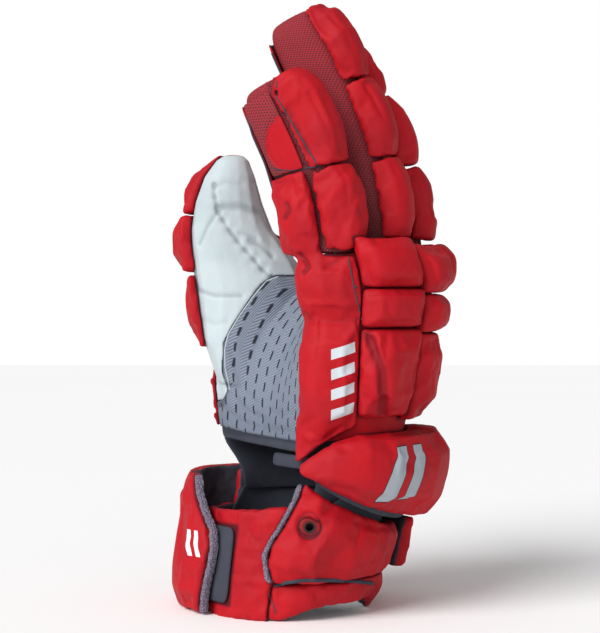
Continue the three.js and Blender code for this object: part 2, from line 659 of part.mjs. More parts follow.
const bandStart = -12;
const bandEnd = 360 + turnStart - 0.6;
const bandLow = (s) => bandRiseAt(THREE.MathUtils.lerp(bandStart, bandEnd, s));
addMesh('cuff_band', pad(cuffPoint, { left: bandStart, right: bandEnd, low: bandLow, high: bandTop, foam: bandWall,
  edge: 0.7, columns: 20, rows: 2 }), colours.red);

// Side panel with its slanted edge, bound in terry, and its eyelet

const panelLow = bandTop + sideGap * 2;
const panelSlant = (t) => -9 - 6 * Math.exp(-(((t - 0.27) / 0.22) ** 2)) + 4.6 * smooth(t, 0.4, 1);
const panelRight = 88;
const panelTop = (degrees) => guardEdge(degrees) - 0.052;
const panelAngle = (s, t) => THREE.MathUtils.lerp(panelSlant(t), panelRight, s);
const panelLift = (s, t) => gap * 2 + (palmPanelWall + gap) * (1 - smooth(panelAngle(s, t), 8, 20));
const sidePanel = pad(cuffPoint, { left: panelSlant, right: panelRight, low: panelLow,
  high: (s) => panelTop(THREE.MathUtils.lerp(-4.4, panelRight, s)), lift: panelLift, edge: 0.55,
  foam: (s) => sidePanelWall - (palmPanelWall * 0.4) * (1 - smooth(s, 0.1, 0.25)), columns: 9, rows: 5 });

const eyeletSides = 12;
const flangeDeep = 1.6;
const eyeletPlace = cuffPoint(4, 0.54, palmPanelWall + sidePanelWall * 0.62);
function eyeletRing(radius, bore, from, to) {
  const profile = [[bore, from], [radius, from], [radius, to], [bore, to], [bore, from]];
  const ring = new THREE.LatheGeometry(profile.map(([r, y]) => new THREE.Vector2(r, y)), eyeletSides);
  return ring.translate(eyeletPlace.x, eyeletPlace.y, eyeletPlace.z);
}
function disc(radius, from, to) {
  const profile = [[0, from], [radius, from], [radius, to], [0, to]];
  const body = new THREE.LatheGeometry(profile.map(([r, y]) => new THREE.Vector2(r, y)), eyeletSides);
  return solid(body.translate(eyeletPlace.x, eyeletPlace.y, eyeletPlace.z));
}
const barrelRadius = 3;
const barrelDeep = 6;
const through = 30;
const drilledPanel = solid(sidePanel)
  .subtract(disc(eyeletRadius + gap, -through, flangeDeep + gap))
  .subtract(disc(barrelRadius + gap, -through, through));
addMesh('cuff_side_panel', geometryOf(drilledPanel), colours.red);
const eyelet = solid(eyeletRing(eyeletRadius, eyeletBore, 0, flangeDeep))
  .add(solid(eyeletRing(barrelRadius, eyeletBore, flangeDeep / 2, barrelDeep)));
addMesh('vent_eyelet', geometryOf(eyelet), colours.red);

const bindingAngle = 3.4;
addMesh('side_panel_binding', pad(cuffPoint, { left: (t) => panelSlant(t) - bindingAngle,
  right: (t) => panelSlant(t) - 0.9, low: panelLow, high: 0.775, lift: () => palmPanelWall + gap * 2,
  foam: bindingWall, edge: 0.8, columns: 1, rows: 7 }), colours.terry);

// Far panel, whose edge at the back stands away from the wrist

const farLift = (s) => gap + farStandoff * (1 - s) ** 3;
const farTop = (s) => 0.50 + 0.26 * smooth(s, 0.2, 0.95);
addMesh('cuff_far_panel', pad(cuffPoint, { left: 96, right: 231, low: panelLow,
  high: farTop, lift: farLift, foam: (s) => backPanelWall - 3.6 * s, edge: 0.55, columns: 9, rows: 3 }), colours.red);

// Closure flap over the end of the palm panel, with its strip and terry edge

const flapBulge = 4;
const flapLow = 0.012;
const flapHigh = 0.77;
const flapLeft = -148;
const flapMiddle = -52;       // angle of the flap's free edge at half its height
const flapRight = (t) => flapMiddle - 7 * (1 - smooth(t, 0, 0.5)) - 36 * smooth(t, 0.55, 1.05);
const flapBindingAngle = 4;
addMesh('closure_flap', pad(cuffPoint, { left: flapLeft, right: flapRight, low: flapLow, high: flapHigh,
  lift: (s) => flapStandoff + flapBulge * Math.sin(Math.PI * s), foam: flapWall, edge: 0.6,
  columns: 6, rows: 6 }), colours.red);
addMesh('flap_binding', pad(cuffPoint, { left: (t) => flapRight(t) + 0.9, right: (t) => flapRight(t) + flapBindingAngle,
  low: flapLow, high: flapHigh, lift: () => flapStandoff, foam: flapWall * 0.6, edge: 0.8, columns: 1, rows: 8 }),
colours.terry);
addMesh('closure_strip', pad(cuffPoint, { left: stripEnds[0], right: stripEnds[1], low: 0.075, high: 0.52,
  lift: () => palmPanelWall + gap * 2, foam: stripWall, edge: 0.9, columns: 5, rows: 3 }), colours.charcoal);

// Wrist guard: a thick roll over the back of the wrist, with its lining

const guardLeft = -8;
const guardRight = 150;
const guardAngle = (s) => THREE.MathUtils.lerp(guardLeft, guardRight, s);
const guardTop = (s) => 0.85 + 0.19 * smooth(guardAngle(s), -16, 14);
const guardOverPanel = 7;      // the left end stands this much further out, over the side panel
const guardFlare = 9;         // the lower edge flares away from the wrist by this much at the back
const guardLift = (s, t) => gap + 2.5 + guardOverPanel * (1 - smooth(s, 0.2, 0.4))
  + (3 + guardFlare * smooth(s, 0.2, 0.6)) * (1 - t) ** 1.5;

// The guard's upper edge reaches inwards to the back of the hand, where it is sewn down.
const guardEdgeShare = 0.5;
const guardHemReach = 12;
const guardReach = (s, t) => guardHemReach * smooth(t, 0.76, 1) * smooth(s, 0.12, 0.22);
const guardBody = pad(cuffPoint, { left: guardLeft, right: guardRight, low: (s) => guardEdge(guardAngle(s)),
  high: guardTop, lift: (s, t) => guardLift(s, t) - guardReach(s, t),
  foam: (s, t) => guardFoam + guardReach(s, t) / guardEdgeShare, edge: guardEdgeShare, columns: 11, rows: 4 });
addMesh('wrist_guard', geometryOf(solid(guardBody).subtract(grownHand)), colours.red);
const guardLiningEnds = [guardLeft + 6, guardRight - 18];
const guardLiningAngle = (s) => THREE.MathUtils.lerp(...guardLiningEnds, s);
const guardShareAt = (degrees) => (degrees - guardLeft) / (guardRight - guardLeft);
addMesh('guard_lining', pad(cuffPoint, { left: guardLiningEnds[0], right: guardLiningEnds[1],
  low: (s) => guardEdge(guardLiningAngle(s)) - 0.022, high: (s) => guardEdge(guardLiningAngle(s)) + 0.03,
  lift: (s) => guardLift(guardShareAt(guardLiningAngle(s)), 0.15) - guardLining - gap * 2, foam: guardLining,
  edge: 0.9, columns: 10, rows: 1 }), colours.charcoal);

// The origin goes to the middle of the bounding box, on the floor.
group.updateMatrixWorld(true);
const box = new THREE.Box3().setFromObject(group);
const middle = box.getCenter(new THREE.Vector3());
for (const mesh of group.children) {
  mesh.geometry.translate(-middle.x, -middle.y, -box.min.z);
}
export default group;
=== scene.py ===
"""Padded left-hand field glove, dressed in cloth, mesh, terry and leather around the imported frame.

Metres. +X is the back of the hand, -X the palm, -Y the little finger side and +Z the fingertips.
"""
from __future__ import annotations

import json
import logging
import math
from collections.abc import Iterable, Sequence
from dataclasses import dataclass, field
from enum import Enum

import bpy
import numpy as np
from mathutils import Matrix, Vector
from mathutils.bvhtree import BVHTree

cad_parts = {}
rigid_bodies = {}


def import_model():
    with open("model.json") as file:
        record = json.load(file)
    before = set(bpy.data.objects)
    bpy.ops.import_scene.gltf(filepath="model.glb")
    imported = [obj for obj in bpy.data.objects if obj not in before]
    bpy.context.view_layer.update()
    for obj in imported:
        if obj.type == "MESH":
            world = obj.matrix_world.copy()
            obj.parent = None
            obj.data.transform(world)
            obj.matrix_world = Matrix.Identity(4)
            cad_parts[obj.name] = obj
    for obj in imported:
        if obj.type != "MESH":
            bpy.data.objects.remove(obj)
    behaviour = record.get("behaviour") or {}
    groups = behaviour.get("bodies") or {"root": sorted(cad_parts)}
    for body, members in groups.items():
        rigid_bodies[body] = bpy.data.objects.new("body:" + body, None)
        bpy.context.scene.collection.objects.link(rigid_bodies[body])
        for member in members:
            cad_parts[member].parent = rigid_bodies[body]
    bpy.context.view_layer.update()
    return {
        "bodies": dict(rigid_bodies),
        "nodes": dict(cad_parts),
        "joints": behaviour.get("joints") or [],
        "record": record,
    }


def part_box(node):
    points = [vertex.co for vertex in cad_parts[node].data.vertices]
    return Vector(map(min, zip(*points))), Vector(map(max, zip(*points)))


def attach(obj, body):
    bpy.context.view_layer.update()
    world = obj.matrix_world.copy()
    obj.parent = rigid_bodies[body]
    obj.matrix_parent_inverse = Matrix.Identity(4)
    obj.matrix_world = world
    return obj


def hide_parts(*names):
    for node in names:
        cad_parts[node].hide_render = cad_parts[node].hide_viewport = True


log = logging.getLogger("glove")

MM = 0.001
PHOTO_WIDTH = 600
PHOTO_HEIGHT = 633

# Camera: found from the vertical edges and the height of the glove in the photograph
VIEW_X = 1.64 * MM
VIEW_HEIGHT = 176.6 * MM
VIEW_DISTANCE = 1000 * MM
VIEW_PLANE_Y = 0.88 * MM
PIXEL = 0.55 * MM
AXIS_U = 313.5
AXIS_V = 285.0


class Finish(Enum):
    """Finishes by the material slot that the record names."""

    RED_CLOTH = "red_cloth"
    FINGER_MESH = "finger_mesh"
    WHITE_LEATHER = "white_leather"
    PALM_MESH = "palm_mesh"
    DARK_CLOTH = "dark_cloth"
    TERRY = "terry"
    EYELET_RIM = "eyelet_rim"


class Hold(Enum):
    """Ways that a sheet of cloth is held."""

    STRETCHED = "stretched"


# Shader expressions


class Socket:
    """An output socket that takes part in Python expressions."""

    def __init__(self, graph: Graph, link: bpy.types.NodeSocket) -> None:
        """Keeps the graph and the socket."""
        self.graph = graph
        self.link = link

    def _math(self, operation: str, first: Value, second: Value) -> Socket:
        """Adds one Math node.

        Args:
            operation: Name of the Math node's operation.
            first: Left operand.
            second: Right operand.

        Returns:
            The node's output.
        """
        return self.graph.math(operation, first, second)

    def __add__(self, other: Value) -> Socket:
        """Sum."""
        return self._math("ADD", self, other)

    def __radd__(self, other: Value) -> Socket:
        """Sum, reflected."""
        return self._math("ADD", other, self)

    def __sub__(self, other: Value) -> Socket:
        """Difference."""
        return self._math("SUBTRACT", self, other)

    def __rsub__(self, other: Value) -> Socket:
        """Difference, reflected."""
        return self._math("SUBTRACT", other, self)

    def __mul__(self, other: Value) -> Socket:
        """Product."""
        return self._math("MULTIPLY", self, other)

    def __truediv__(self, other: Value) -> Socket:
        """Quotient."""
        return self._math("DIVIDE", self, other)


Value = Socket | float | int
Colour = tuple[float, float, float]


def linear(red: int, green: int, blue: int) -> Colour:
    """Turns a display colour into linear light.

    Args:
        red: Red, 0 to 255.
        green: Green, 0 to 255.
        blue: Blue, 0 to 255.

    Returns:
        The three linear shares.
    """
    shares = (red / 255, green / 255, blue / 255)
    return tuple(((c + 0.055) / 1.055) ** 2.4 if c > 0.04 else c / 12.92 for c in shares)


class Graph:
    """The node tree of one material."""

    def __init__(self, name: str) -> None:
        """Makes the material and its surface shader.

        Args:
            name: Name of the material.
        """
        self.material = bpy.data.materials.new(name)
        self.material.use_nodes = True
        self.tree = self.material.node_tree
        self.tree.nodes.clear()
        self.shader = self.tree.nodes.new("ShaderNodeBsdfPrincipled")
        output = self.tree.nodes.new("ShaderNodeOutputMaterial")
        self.tree.links.new(self.shader.outputs["BSDF"], output.inputs["Surface"])
        self.place = Socket(self, self.node("ShaderNodeTexCoord").outputs["Object"])

    def node(self, kind: str, settings: dict[str, object] | None = None,
             inputs: dict[str | int, object] | None = None) -> bpy.types.Node:
        """Adds a node.

        Args:
            kind: Node type.
            settings: Properties of the node, set first.
            inputs: Values or sockets by input name or number.

        Returns:
            The node.
        """
        made = self.tree.nodes.new(kind)
        for key, setting in (settings or {}).items():
            setattr(made, key, setting)
        for key, value in (inputs or {}).items():
            self.feed(made.inputs[key], value)
        return made

    def feed(self, target: bpy.types.NodeSocket, value: object) -> None:
        """Links or sets one input.

        Args:
            target: The input socket.
            value: A Socket, a number or a colour.
        """
        if isinstance(value, Socket):
            self.tree.links.new(value.link, target)
        elif isinstance(value, tuple) and len(value) == 3 and target.type == "RGBA":
            target.default_value = (*value, 1)
        else:
            target.default_value = value

    def math(self, operation: str, first: Value, second: Value = 0.0) -> Socket:
        """Adds a Math node.

        Args:
            operation: The node's operation.
            first: First operand.
            second: Second operand.

        Returns:
            The node's output.
        """
        made = self.node("ShaderNodeMath", {"operation": operation}, {0: first, 1: second})
        return Socket(self, made.outputs[0])

    def mix(self, share: Value, low: Socket | Colour, high: Socket | Colour) -> Socket:
        """Mixes two colours.

        Args:
            share: 0 gives the first colour and 1 the second.
            low: First colour.
            high: Second colour.

        Returns:
            The mixed colour.
        """
        made = self.node("ShaderNodeMix", {"data_type": "RGBA"}, {0: share, 6: low, 7: high})
        return Socket(self, made.outputs[2])

    def noise(self, scale: float, detail: float = 3.0, rough: float = 0.55) -> Socket:
        """Noise between 0 and 1 in the object's own coordinates.

        Args:
            scale: Waves per metre.
            detail: Octaves.
            rough: Share of the fine octaves.

        Returns:
            The noise.
        """
        inputs = {"Vector": self.place, "Scale": scale, "Detail": detail, "Roughness": rough}
        return Socket(self, self.node("ShaderNodeTexNoise", {}, inputs).outputs["Fac"])

    def span(self, value: Value, low: float, high: float, to_low: float = 0.0,
             to_high: float = 1.0) -> Socket:
        """Maps a value smoothly from one span to another.

        Args:
            value: What is mapped.
            low: Start of the span.
            high: End of the span.
            to_low: Result at the start.
            to_high: Result at the end.

        Returns:
            The mapped value.
        """
        made = self.node("ShaderNodeMapRange", {"interpolation_type": "SMOOTHSTEP"},
                         {0: value, 1: low, 2: high, 3: to_low, 4: to_high})
        return Socket(self, made.outputs[0])

    def axes(self, vector: Socket | None = None) -> tuple[Socket, Socket, Socket]:
        """The three parts of a vector."""
        made = self.node("ShaderNodeSeparateXYZ", {}, {0: vector or self.place})
        return tuple(Socket(self, made.outputs[i]) for i in range(3))

    def attribute(self, name: str) -> Socket:
        """A number kept on the piece's points."""
        made = self.node("ShaderNodeAttribute", {"attribute_name": name})
        return Socket(self, made.outputs["Fac"])

    def attribute_vector(self, name: str) -> Socket:
        """A vector kept on the piece's points."""
        made = self.node("ShaderNodeAttribute", {"attribute_name": name})
        return Socket(self, made.outputs["Vector"])

    def bump(self, height: Socket, depth: float, strength: float = 1.0,
             under: Socket | None = None) -> Socket:
        """Turns a height into a bent normal.

        Args:
            height: Height, about 0 to 1.
            depth: Depth in metres of a height of 1.
            strength: Share of the effect.
            under: Normal of a coarser bump below this one.

        Returns:
            The normal.
        """
        inputs: dict[str | int, object] = {"Height": height, "Distance": depth, "Strength": strength}
        if under is not None:
            inputs["Normal"] = under
        return Socket(self, self.node("ShaderNodeBump", {}, inputs).outputs[0])

    def finish(self, **sockets: object) -> bpy.types.Material:
        """Feeds the surface shader.

        Args:
            **sockets: Values by the shader's input names, with _ for a space.

        Returns:
            The material.
        """
        for key, value in sockets.items():
            self.feed(self.shader.inputs[key.replace("_", " ")], value)
        return self.material


# Finishes


@dataclass(frozen=True)
class Bars:
    """A row of plain slanted bars, printed on the cloth round a pixel of the photograph."""

    centre: tuple[float, float]
    size: tuple[float, float]
    count: int
    slant: float
    share: float
    upright: bool = True
    ink: Colour = linear(198, 206, 212)
    edge: Colour = linear(58, 20, 28)
    outline: float = 0.0
    soft: float = 0.2 * MM

    def mask(self, g: Graph, grow: float = 0.0) -> Socket:
        """The bars' print, 1 on the bars.

        Args:
            g: Graph of the material.
            grow: Distance that the bars are widened by.

        Returns:
            The mask.
        """
        x, z, _ = g.axes(g.attribute_vector("print"))
        across, along = (x, z) if self.upright else (z, x)
        width, height = self.size
        side = across - along * self.slant
        pitch = width / self.count
        local = g.math("ABSOLUTE", g.math("FRACT", side / pitch + self.count / 2) - 0.5) * pitch
        bar = g.span(local, pitch * self.share / 2 + grow + self.soft, pitch * self.share / 2 + grow)
        inside = g.span(g.math("ABSOLUTE", side), width / 2 + grow + self.soft, width / 2 + grow)
        tall = g.span(g.math("ABSOLUTE", along), height / 2 + grow + self.soft, height / 2 + grow)
        return bar * inside * tall


@dataclass(frozen=True)
class RedCloth:
    """Coated woven nylon over foam, with painted shade in its seams and creases."""

    lit: Colour = linear(180, 8, 24)
    worn: Colour = linear(166, 12, 27)
    # Colour of the painted shade in seams and creases; the weave is also darkened a little towards it.
    deep: Colour = linear(66, 10, 22)
    lining: Colour = linear(40, 41, 48)
    fleece_tip: Colour = linear(72, 70, 80)
    thread: float = 0.5 * MM

    def make(self, name: str = "red nylon", bars: Bars | None = None) -> bpy.types.Material:
        """Builds the material.

        Args:
            name: Name of the material.
            bars: Plain bars printed on the cloth, or none.

        Returns:
            The material.
        """
        g = Graph(name)
        across, along, _ = g.axes(g.attribute_vector("grain"))
        turns = 2 * math.pi / self.thread
        weave = g.math("SINE", across * turns) * g.math("SINE", along * turns)
        painted_seam_shade = g.attribute("painted_seam_shade")
        cloud = g.noise(38, 3, 0.5)
        colour = g.mix(g.span(cloud, 0.35, 0.7), self.lit, self.worn)
        # Painted shade near the seams.
        colour = g.mix(g.span(painted_seam_shade, 0.3, 1.0, 0.0, 0.9), colour, self.deep)
        # Painted shade in the pressed creases.
        colour = g.mix(g.span(g.attribute("fold"), 0.1, 1.0, 0.0, 0.5), colour, self.deep)
        colour = g.mix(weave * 0.05 + 0.03, colour, self.deep)
        rough = 0.56 + cloud * 0.12 + painted_seam_shade * 0.1
        normal = g.bump(g.noise(150, 4, 0.6), 0.4 * MM, 0.3)
        if bars is not None:
            mask = bars.mask(g)
            if bars.outline > 0:
                rim = bars.mask(g, bars.outline)
                colour = g.mix(rim, colour, bars.edge)
                normal = g.bump(rim, 0.4 * MM, 0.8, normal)
            colour = g.mix(mask, colour, bars.ink)
            rough = rough - mask * 0.1
        inward = g.attribute("lining")
        fleece = g.noise(520, 3, 0.7)
        colour = g.mix(inward, colour, g.mix(fleece, self.lining, self.fleece_tip))
        rough = rough + inward * 0.3
        normal = g.bump(weave * (1.0 - inward) + fleece * inward * 4.0, 0.05 * MM, 0.35, normal)
        return g.finish(Base_Color=colour, Roughness=rough, Normal=normal, Specular_IOR_Level=0.22)


@dataclass(frozen=True)
class FingerMesh:
    """Fine knitted mesh between the fingers' foam, with rows of dots, painted shade lower down and painted
    shade near its seams.
    """

    # lit and low are one yarn: low is its painted shade towards the base of the fingers.
    lit: Colour = linear(176, 46, 56)
    low: Colour = linear(134, 56, 60)
    hole: Colour = linear(96, 40, 46)
    # seam: colour of the painted shade near other pieces.
    seam: Colour = linear(58, 20, 26)
    tip: Colour = linear(30, 18, 24)
    dot: float = 1.5 * MM
    knit_slope: tuple[float, float] = (0.87, 0.5)
    # Heights over which the painted shade fades out upwards.
    painted_shade_heights: tuple[float, float] = (200 * MM, 290 * MM)

    def make(self) -> bpy.types.Material:
        """Builds the material."""
        g = Graph("finger mesh")
        across, along, _ = g.axes(g.attribute_vector("grain"))
        turns = 2 * math.pi / self.dot
        run, rise = self.knit_slope
        steep = g.math("SINE", (across * run + along * rise) * turns)
        flat = g.math("SINE", (across * run - along * rise) * turns)
        level = g.math("SINE", along * turns)
        knit = (steep + flat + level) * 0.333
        solid = g.span(knit, -0.5, 0.25)
        height = g.axes()[2]
        # Painted shade: the yarn darkens towards the base of the fingers.
        yarn_with_painted_shade = g.mix(g.span(height, *self.painted_shade_heights), self.low, self.lit)
        colour = g.mix(solid, self.hole, g.mix(g.noise(45, 2) * 0.5, yarn_with_painted_shade, self.hole))
        # Painted shade near the seams.
        colour = g.mix(g.span(g.attribute("painted_seam_shade"), 0.5, 1, 0, 0.6), colour, self.seam)
        colour = g.mix(g.attribute("lining"), colour, self.tip)
        plain = g.attribute("plain")
        colour = g.mix(plain, colour, g.mix(g.noise(38, 3) * 0.6, RedCloth.lit, RedCloth.worn))
        return g.finish(Base_Color=colour, Roughness=0.78 - plain * 0.16,
                        Normal=g.bump(solid * (1.0 - plain), 0.3 * MM, 0.8), Specular_IOR_Level=0.2)


@dataclass(frozen=True)
class WhiteLeather:
    """Soft synthetic leather with a fine grain, and painted shade in its seams and creases."""

    lit: Colour = linear(186, 198, 201)
    shade: Colour = linear(173, 186, 190)
    # deep: colour of the painted shade in seams and creases.
    deep: Colour = linear(100, 111, 119)
    pores: float = 1050.0

    def make(self) -> bpy.types.Material:
        """Builds the material."""
        g = Graph("white leather")
        cloud = g.noise(30, 3, 0.5)
        colour = g.mix(g.span(cloud, 0.35, 0.75), self.lit, self.shade)
        # Painted shade near the seams and in the pressed creases.
        colour = g.mix(g.span(g.attribute("painted_seam_shade"), 0.45, 1, 0, 0.6), colour, self.deep)
        colour = g.mix(g.span(g.attribute("fold"), 0.15, 1, 0, 0.5), colour, self.deep)
        pores = Socket(g, g.node("ShaderNodeTexVoronoi", {"feature": "DISTANCE_TO_EDGE"},
                                 {"Vector": g.place, "Scale": self.pores}).outputs["Distance"])
        grain = g.span(pores, 0.0, 0.25)
        normal = g.bump(g.noise(120, 4, 0.6), 0.9 * MM, 0.45)
        normal = g.bump(grain, 0.06 * MM, 0.5, normal)
        return g.finish(Base_Color=colour, Roughness=0.5 + cloud * 0.14, Normal=normal,
                        Specular_IOR_Level=0.25)


@dataclass(frozen=True)
class PalmMesh:
    """Grey herringbone mesh with staggered rows of upright slots, shaded lower down and with painted shade
    near its seams.
    """

    lit: Colour = linear(150, 159, 173)
    rib_shade: Colour = linear(94, 103, 118)
    slot: Colour = linear(40, 44, 56)
    pitch: float = 7.6 * MM
    slot_length: float = 8.6 * MM
    slot_edge: tuple[float, float] = (0.11, 0.05)
    slot_end: tuple[float, float] = (0.34, 0.22)
    rib: float = 1.7 * MM
    rib_slope: float = 0.55
    lean: float = 9.5
    upright_pixel: tuple[float, float] = (0, 373)
    shaded_height: float = 45 * MM

    def make(self) -> bpy.types.Material:
        """Builds the material."""
        g = Graph("palm mesh")
        east, north, z = g.axes()
        x = (east - north) * math.sqrt(0.5)
        upright = seen_at(*self.upright_pixel)[1]
        bend = (z - upright) * (z - upright) * (self.lean / 2)
        column = (x - bend + g.noise(60, 2) * 1.2 * MM) / self.pitch
        half = g.math("MODULO", g.math("FLOOR", column), 2.0)
        beside = g.math("ABSOLUTE", g.math("FRACT", column) - 0.5)
        row = g.math("ABSOLUTE", g.math("FRACT", z / self.slot_length + half * 0.5) - 0.5)
        hole = g.span(beside, *self.slot_edge) * g.span(row, *self.slot_end)
        way = g.math("MODULO", g.math("FLOOR", column * 2.0), 2.0) * 2.0 - 1.0
        ribs = g.math("SINE", (z + x * way * self.rib_slope) * (2 * math.pi / self.rib)) * 0.5 + 0.5
        colour = g.mix(ribs * 0.9, self.rib_shade, self.lit)
        shaded = g.span(z, upright, upright - self.shaded_height, 0.0, 0.7)
        colour = g.mix(shaded, colour, self.rib_shade)
        colour = g.mix(g.noise(24, 2) * 0.3, colour, self.rib_shade)
        colour = g.mix(hole, colour, self.slot)
        # Painted shade near the seams, in the slot colour.
        colour = g.mix(g.span(g.attribute("painted_seam_shade"), 0.4, 1, 0, 0.5), colour, self.slot)
        height = (1.0 - hole) * (0.75 + ribs * 0.25)
        normal = g.bump(height, 0.6 * MM, 0.9)
        return g.finish(Base_Color=colour, Roughness=0.84 - ribs * 0.08, Normal=normal,
                        Specular_IOR_Level=0.25)


@dataclass(frozen=True)
class DarkCloth:
    """Charcoal woven cloth of linings, tapes, piping and strips, with painted shade near its seams."""

    lit: Colour = linear(82, 86, 98)
    deep: Colour = linear(36, 39, 48)
    thread: float = 0.9 * MM

    def make(self) -> bpy.types.Material:
        """Builds the material."""
        g = Graph("charcoal cloth")
        across, along, _ = g.axes(g.attribute_vector("grain"))
        turns = 2 * math.pi / self.thread
        weave = g.math("SINE", across * turns) * g.math("SINE", along * turns) * 0.5 + 0.5
        colour = g.mix(weave * 0.5 + g.noise(90, 3) * 0.4, self.deep, self.lit)
        # Painted shade near the seams.
        colour = g.mix(g.span(g.attribute("painted_seam_shade"), 0.2, 1, 0, 0.6), colour, self.deep)
        normal = g.bump(weave, 0.16 * MM, 0.6)
        return g.finish(Base_Color=colour, Roughness=0.82 + weave * 0.1, Normal=normal,
                        Specular_IOR_Level=0.2)


@dataclass(frozen=True)
class Terry:
    """Looped grey-purple towelling of the bindings."""

    lit: Colour = linear(150, 142, 160)
    deep: Colour = linear(78, 72, 88)
    loops: float = 780.0

    def make(self) -> bpy.types.Material:
        """Builds the material."""
        g = Graph("terry")
        loops = Socket(g, g.node("ShaderNodeTexVoronoi", {"feature": "F1"},
                                 {"Vector": g.place, "Scale": self.loops}).outputs["Distance"])
        tuft = g.span(loops, 0.75, 0.1)
        colour = g.mix(tuft * 0.6 + g.noise(260, 3) * 0.5, self.deep, self.lit)
        normal = g.bump(tuft, 0.7 * MM, 0.9)
        return g.finish(Base_Color=colour, Roughness=0.95 - tuft * 0.05, Normal=normal,
                        Specular_IOR_Level=0.15)


@dataclass(frozen=True)
class MouldedRim:
    """Moulded eyelet in the colour of the cloth, with painted shade, near black, inside its hole."""

    lit: Colour = linear(164, 10, 22)
    worn: Colour = linear(140, 10, 22)
    # deep: colour of the painted shade inside the hole.
    deep: Colour = linear(16, 8, 10)

    def make(self) -> bpy.types.Material:
        """Builds the material."""
        g = Graph("moulded rim")
        rim = g.mix(g.noise(120, 2), self.lit, self.worn)
        # Here the lining attribute marks the hole, and deep is its painted shade.
        colour = g.mix(g.attribute("lining"), rim, self.deep)
        return g.finish(Base_Color=colour, Roughness=0.42 + g.noise(400, 2) * 0.1,
                        Normal=g.bump(g.noise(900, 2), 0.05 * MM, 0.4), Specular_IOR_Level=0.3)


# Shaping


def nothing_selected() -> None:
    """Leaves edit mode and deselects every object."""
    if bpy.context.mode != "OBJECT":
        bpy.ops.object.mode_set(mode="OBJECT")
    bpy.ops.object.select_all(action="DESELECT")


def hold(piece: bpy.types.Object) -> None:
    """Makes a piece the only one selected, and active."""
    nothing_selected()
    piece.select_set(True)
    bpy.context.view_layer.objects.active = piece


def apply_modifier(piece: bpy.types.Object, kind: str, **settings: object) -> None:
    """Adds a modifier and applies it.

    Args:
        piece: The piece.
        kind: Modifier type.
        **settings: The modifier's properties.
    """
    hold(piece)
    made = piece.modifiers.new(kind.lower(), kind)
    for key, value in settings.items():
        setattr(made, key, value)
    bpy.ops.object.modifier_apply(modifier=made.name)


def points_of(piece: bpy.types.Object) -> np.ndarray:
    """The piece's points as an array, a row each."""
    flat = np.empty(len(piece.data.vertices) * 3, dtype=np.float64)
    piece.data.vertices.foreach_get("co", flat)
    return flat.reshape(-1, 3)


def normals_of(piece: bpy.types.Object) -> np.ndarray:
    """The piece's point normals as an array, a row each."""
    flat = np.empty(len(piece.data.vertices) * 3, dtype=np.float64)
    piece.data.vertices.foreach_get("normal", flat)
    return flat.reshape(-1, 3)


def set_points(piece: bpy.types.Object, points: np.ndarray) -> None:
    """Writes the piece's points back."""
    piece.data.vertices.foreach_set("co", points.reshape(-1))
    piece.data.update()


def grow(piece: bpy.types.Object, distance: float) -> None:
    """Moves every point of a piece outwards."""
    set_points(piece, points_of(piece) + normals_of(piece) * distance)


def surface_of(names: Iterable[str], nodes: dict[str, bpy.types.Object]) -> BVHTree:
    """Search tree over the faces of some CAD nodes.

    Args:
        names: The nodes' names.
        nodes: All CAD nodes.

    Returns:
        The tree.
    """
    corners: list[tuple[float, float, float]] = []
    faces: list[tuple[int, ...]] = []
    for name in names:
        start = len(corners)
        mesh = nodes[name].data
        corners.extend(tuple(v.co) for v in mesh.vertices)
        faces.extend(tuple(start + i for i in p.vertices) for p in mesh.polygons)
    return BVHTree.FromPolygons(corners, faces)


def distances(tree: BVHTree, points: np.ndarray, reach: float) -> np.ndarray:
    """Distance of each point from a surface, at most reach."""
    found = [tree.find_nearest(Vector(p), reach)[3] for p in points]
    return np.array([reach if d is None else d for d in found])


def smooth_step(values: np.ndarray, low: float, high: float) -> np.ndarray:
    """Smooth rise from 0 at low to 1 at high."""
    t = np.clip((values - low) / (high - low), 0, 1)
    return t * t * (3 - 2 * t)


def view_plane(points: np.ndarray) -> np.ndarray:
    """Where points are seen in the photograph's plane, as X and Z in metres.

    Args:
        points: Points, a row each.

    Returns:
        Their places in the plane that passes through the middle of the glove.
    """
    share = VIEW_DISTANCE / (VIEW_DISTANCE + points[:, 1] - VIEW_PLANE_Y)
    return np.stack([VIEW_X + (points[:, 0] - VIEW_X) * share,
                     VIEW_HEIGHT + (points[:, 2] - VIEW_HEIGHT) * share], axis=1)


def seen_at(u: float, v: float) -> tuple[float, float]:
    """Place in the photograph's plane of a pixel, as X and Z in metres."""
    return VIEW_X + (u - AXIS_U) * PIXEL, VIEW_HEIGHT + (AXIS_V - v) * PIXEL


def path_distance(places: np.ndarray, path: Sequence[tuple[float, float]]) -> tuple[np.ndarray, np.ndarray]:
    """Distance of places from a broken line, and how far along it they lie.

    Args:
        places: Places, a row each.
        path: Corners of the line.

    Returns:
        The distances off the line and the distances along it.
    """
    best = np.full(len(places), 1.0)
    along = np.zeros(len(places))
    before = 0.0
    for (ax, az), (bx, bz) in zip(path[:-1], path[1:]):
        start = np.array([ax, az])
        run = np.array([bx - ax, bz - az])
        length = float(np.hypot(*run))
        t = np.clip(((places - start) @ run) / max(length * length, 1e-12), 0, 1)
        away = np.linalg.norm(places - start - t[:, None] * run, axis=1)
        nearer = away < best
        best = np.where(nearer, away, best)
        along = np.where(nearer, before + t * length, along)
        before += length
    return best, along


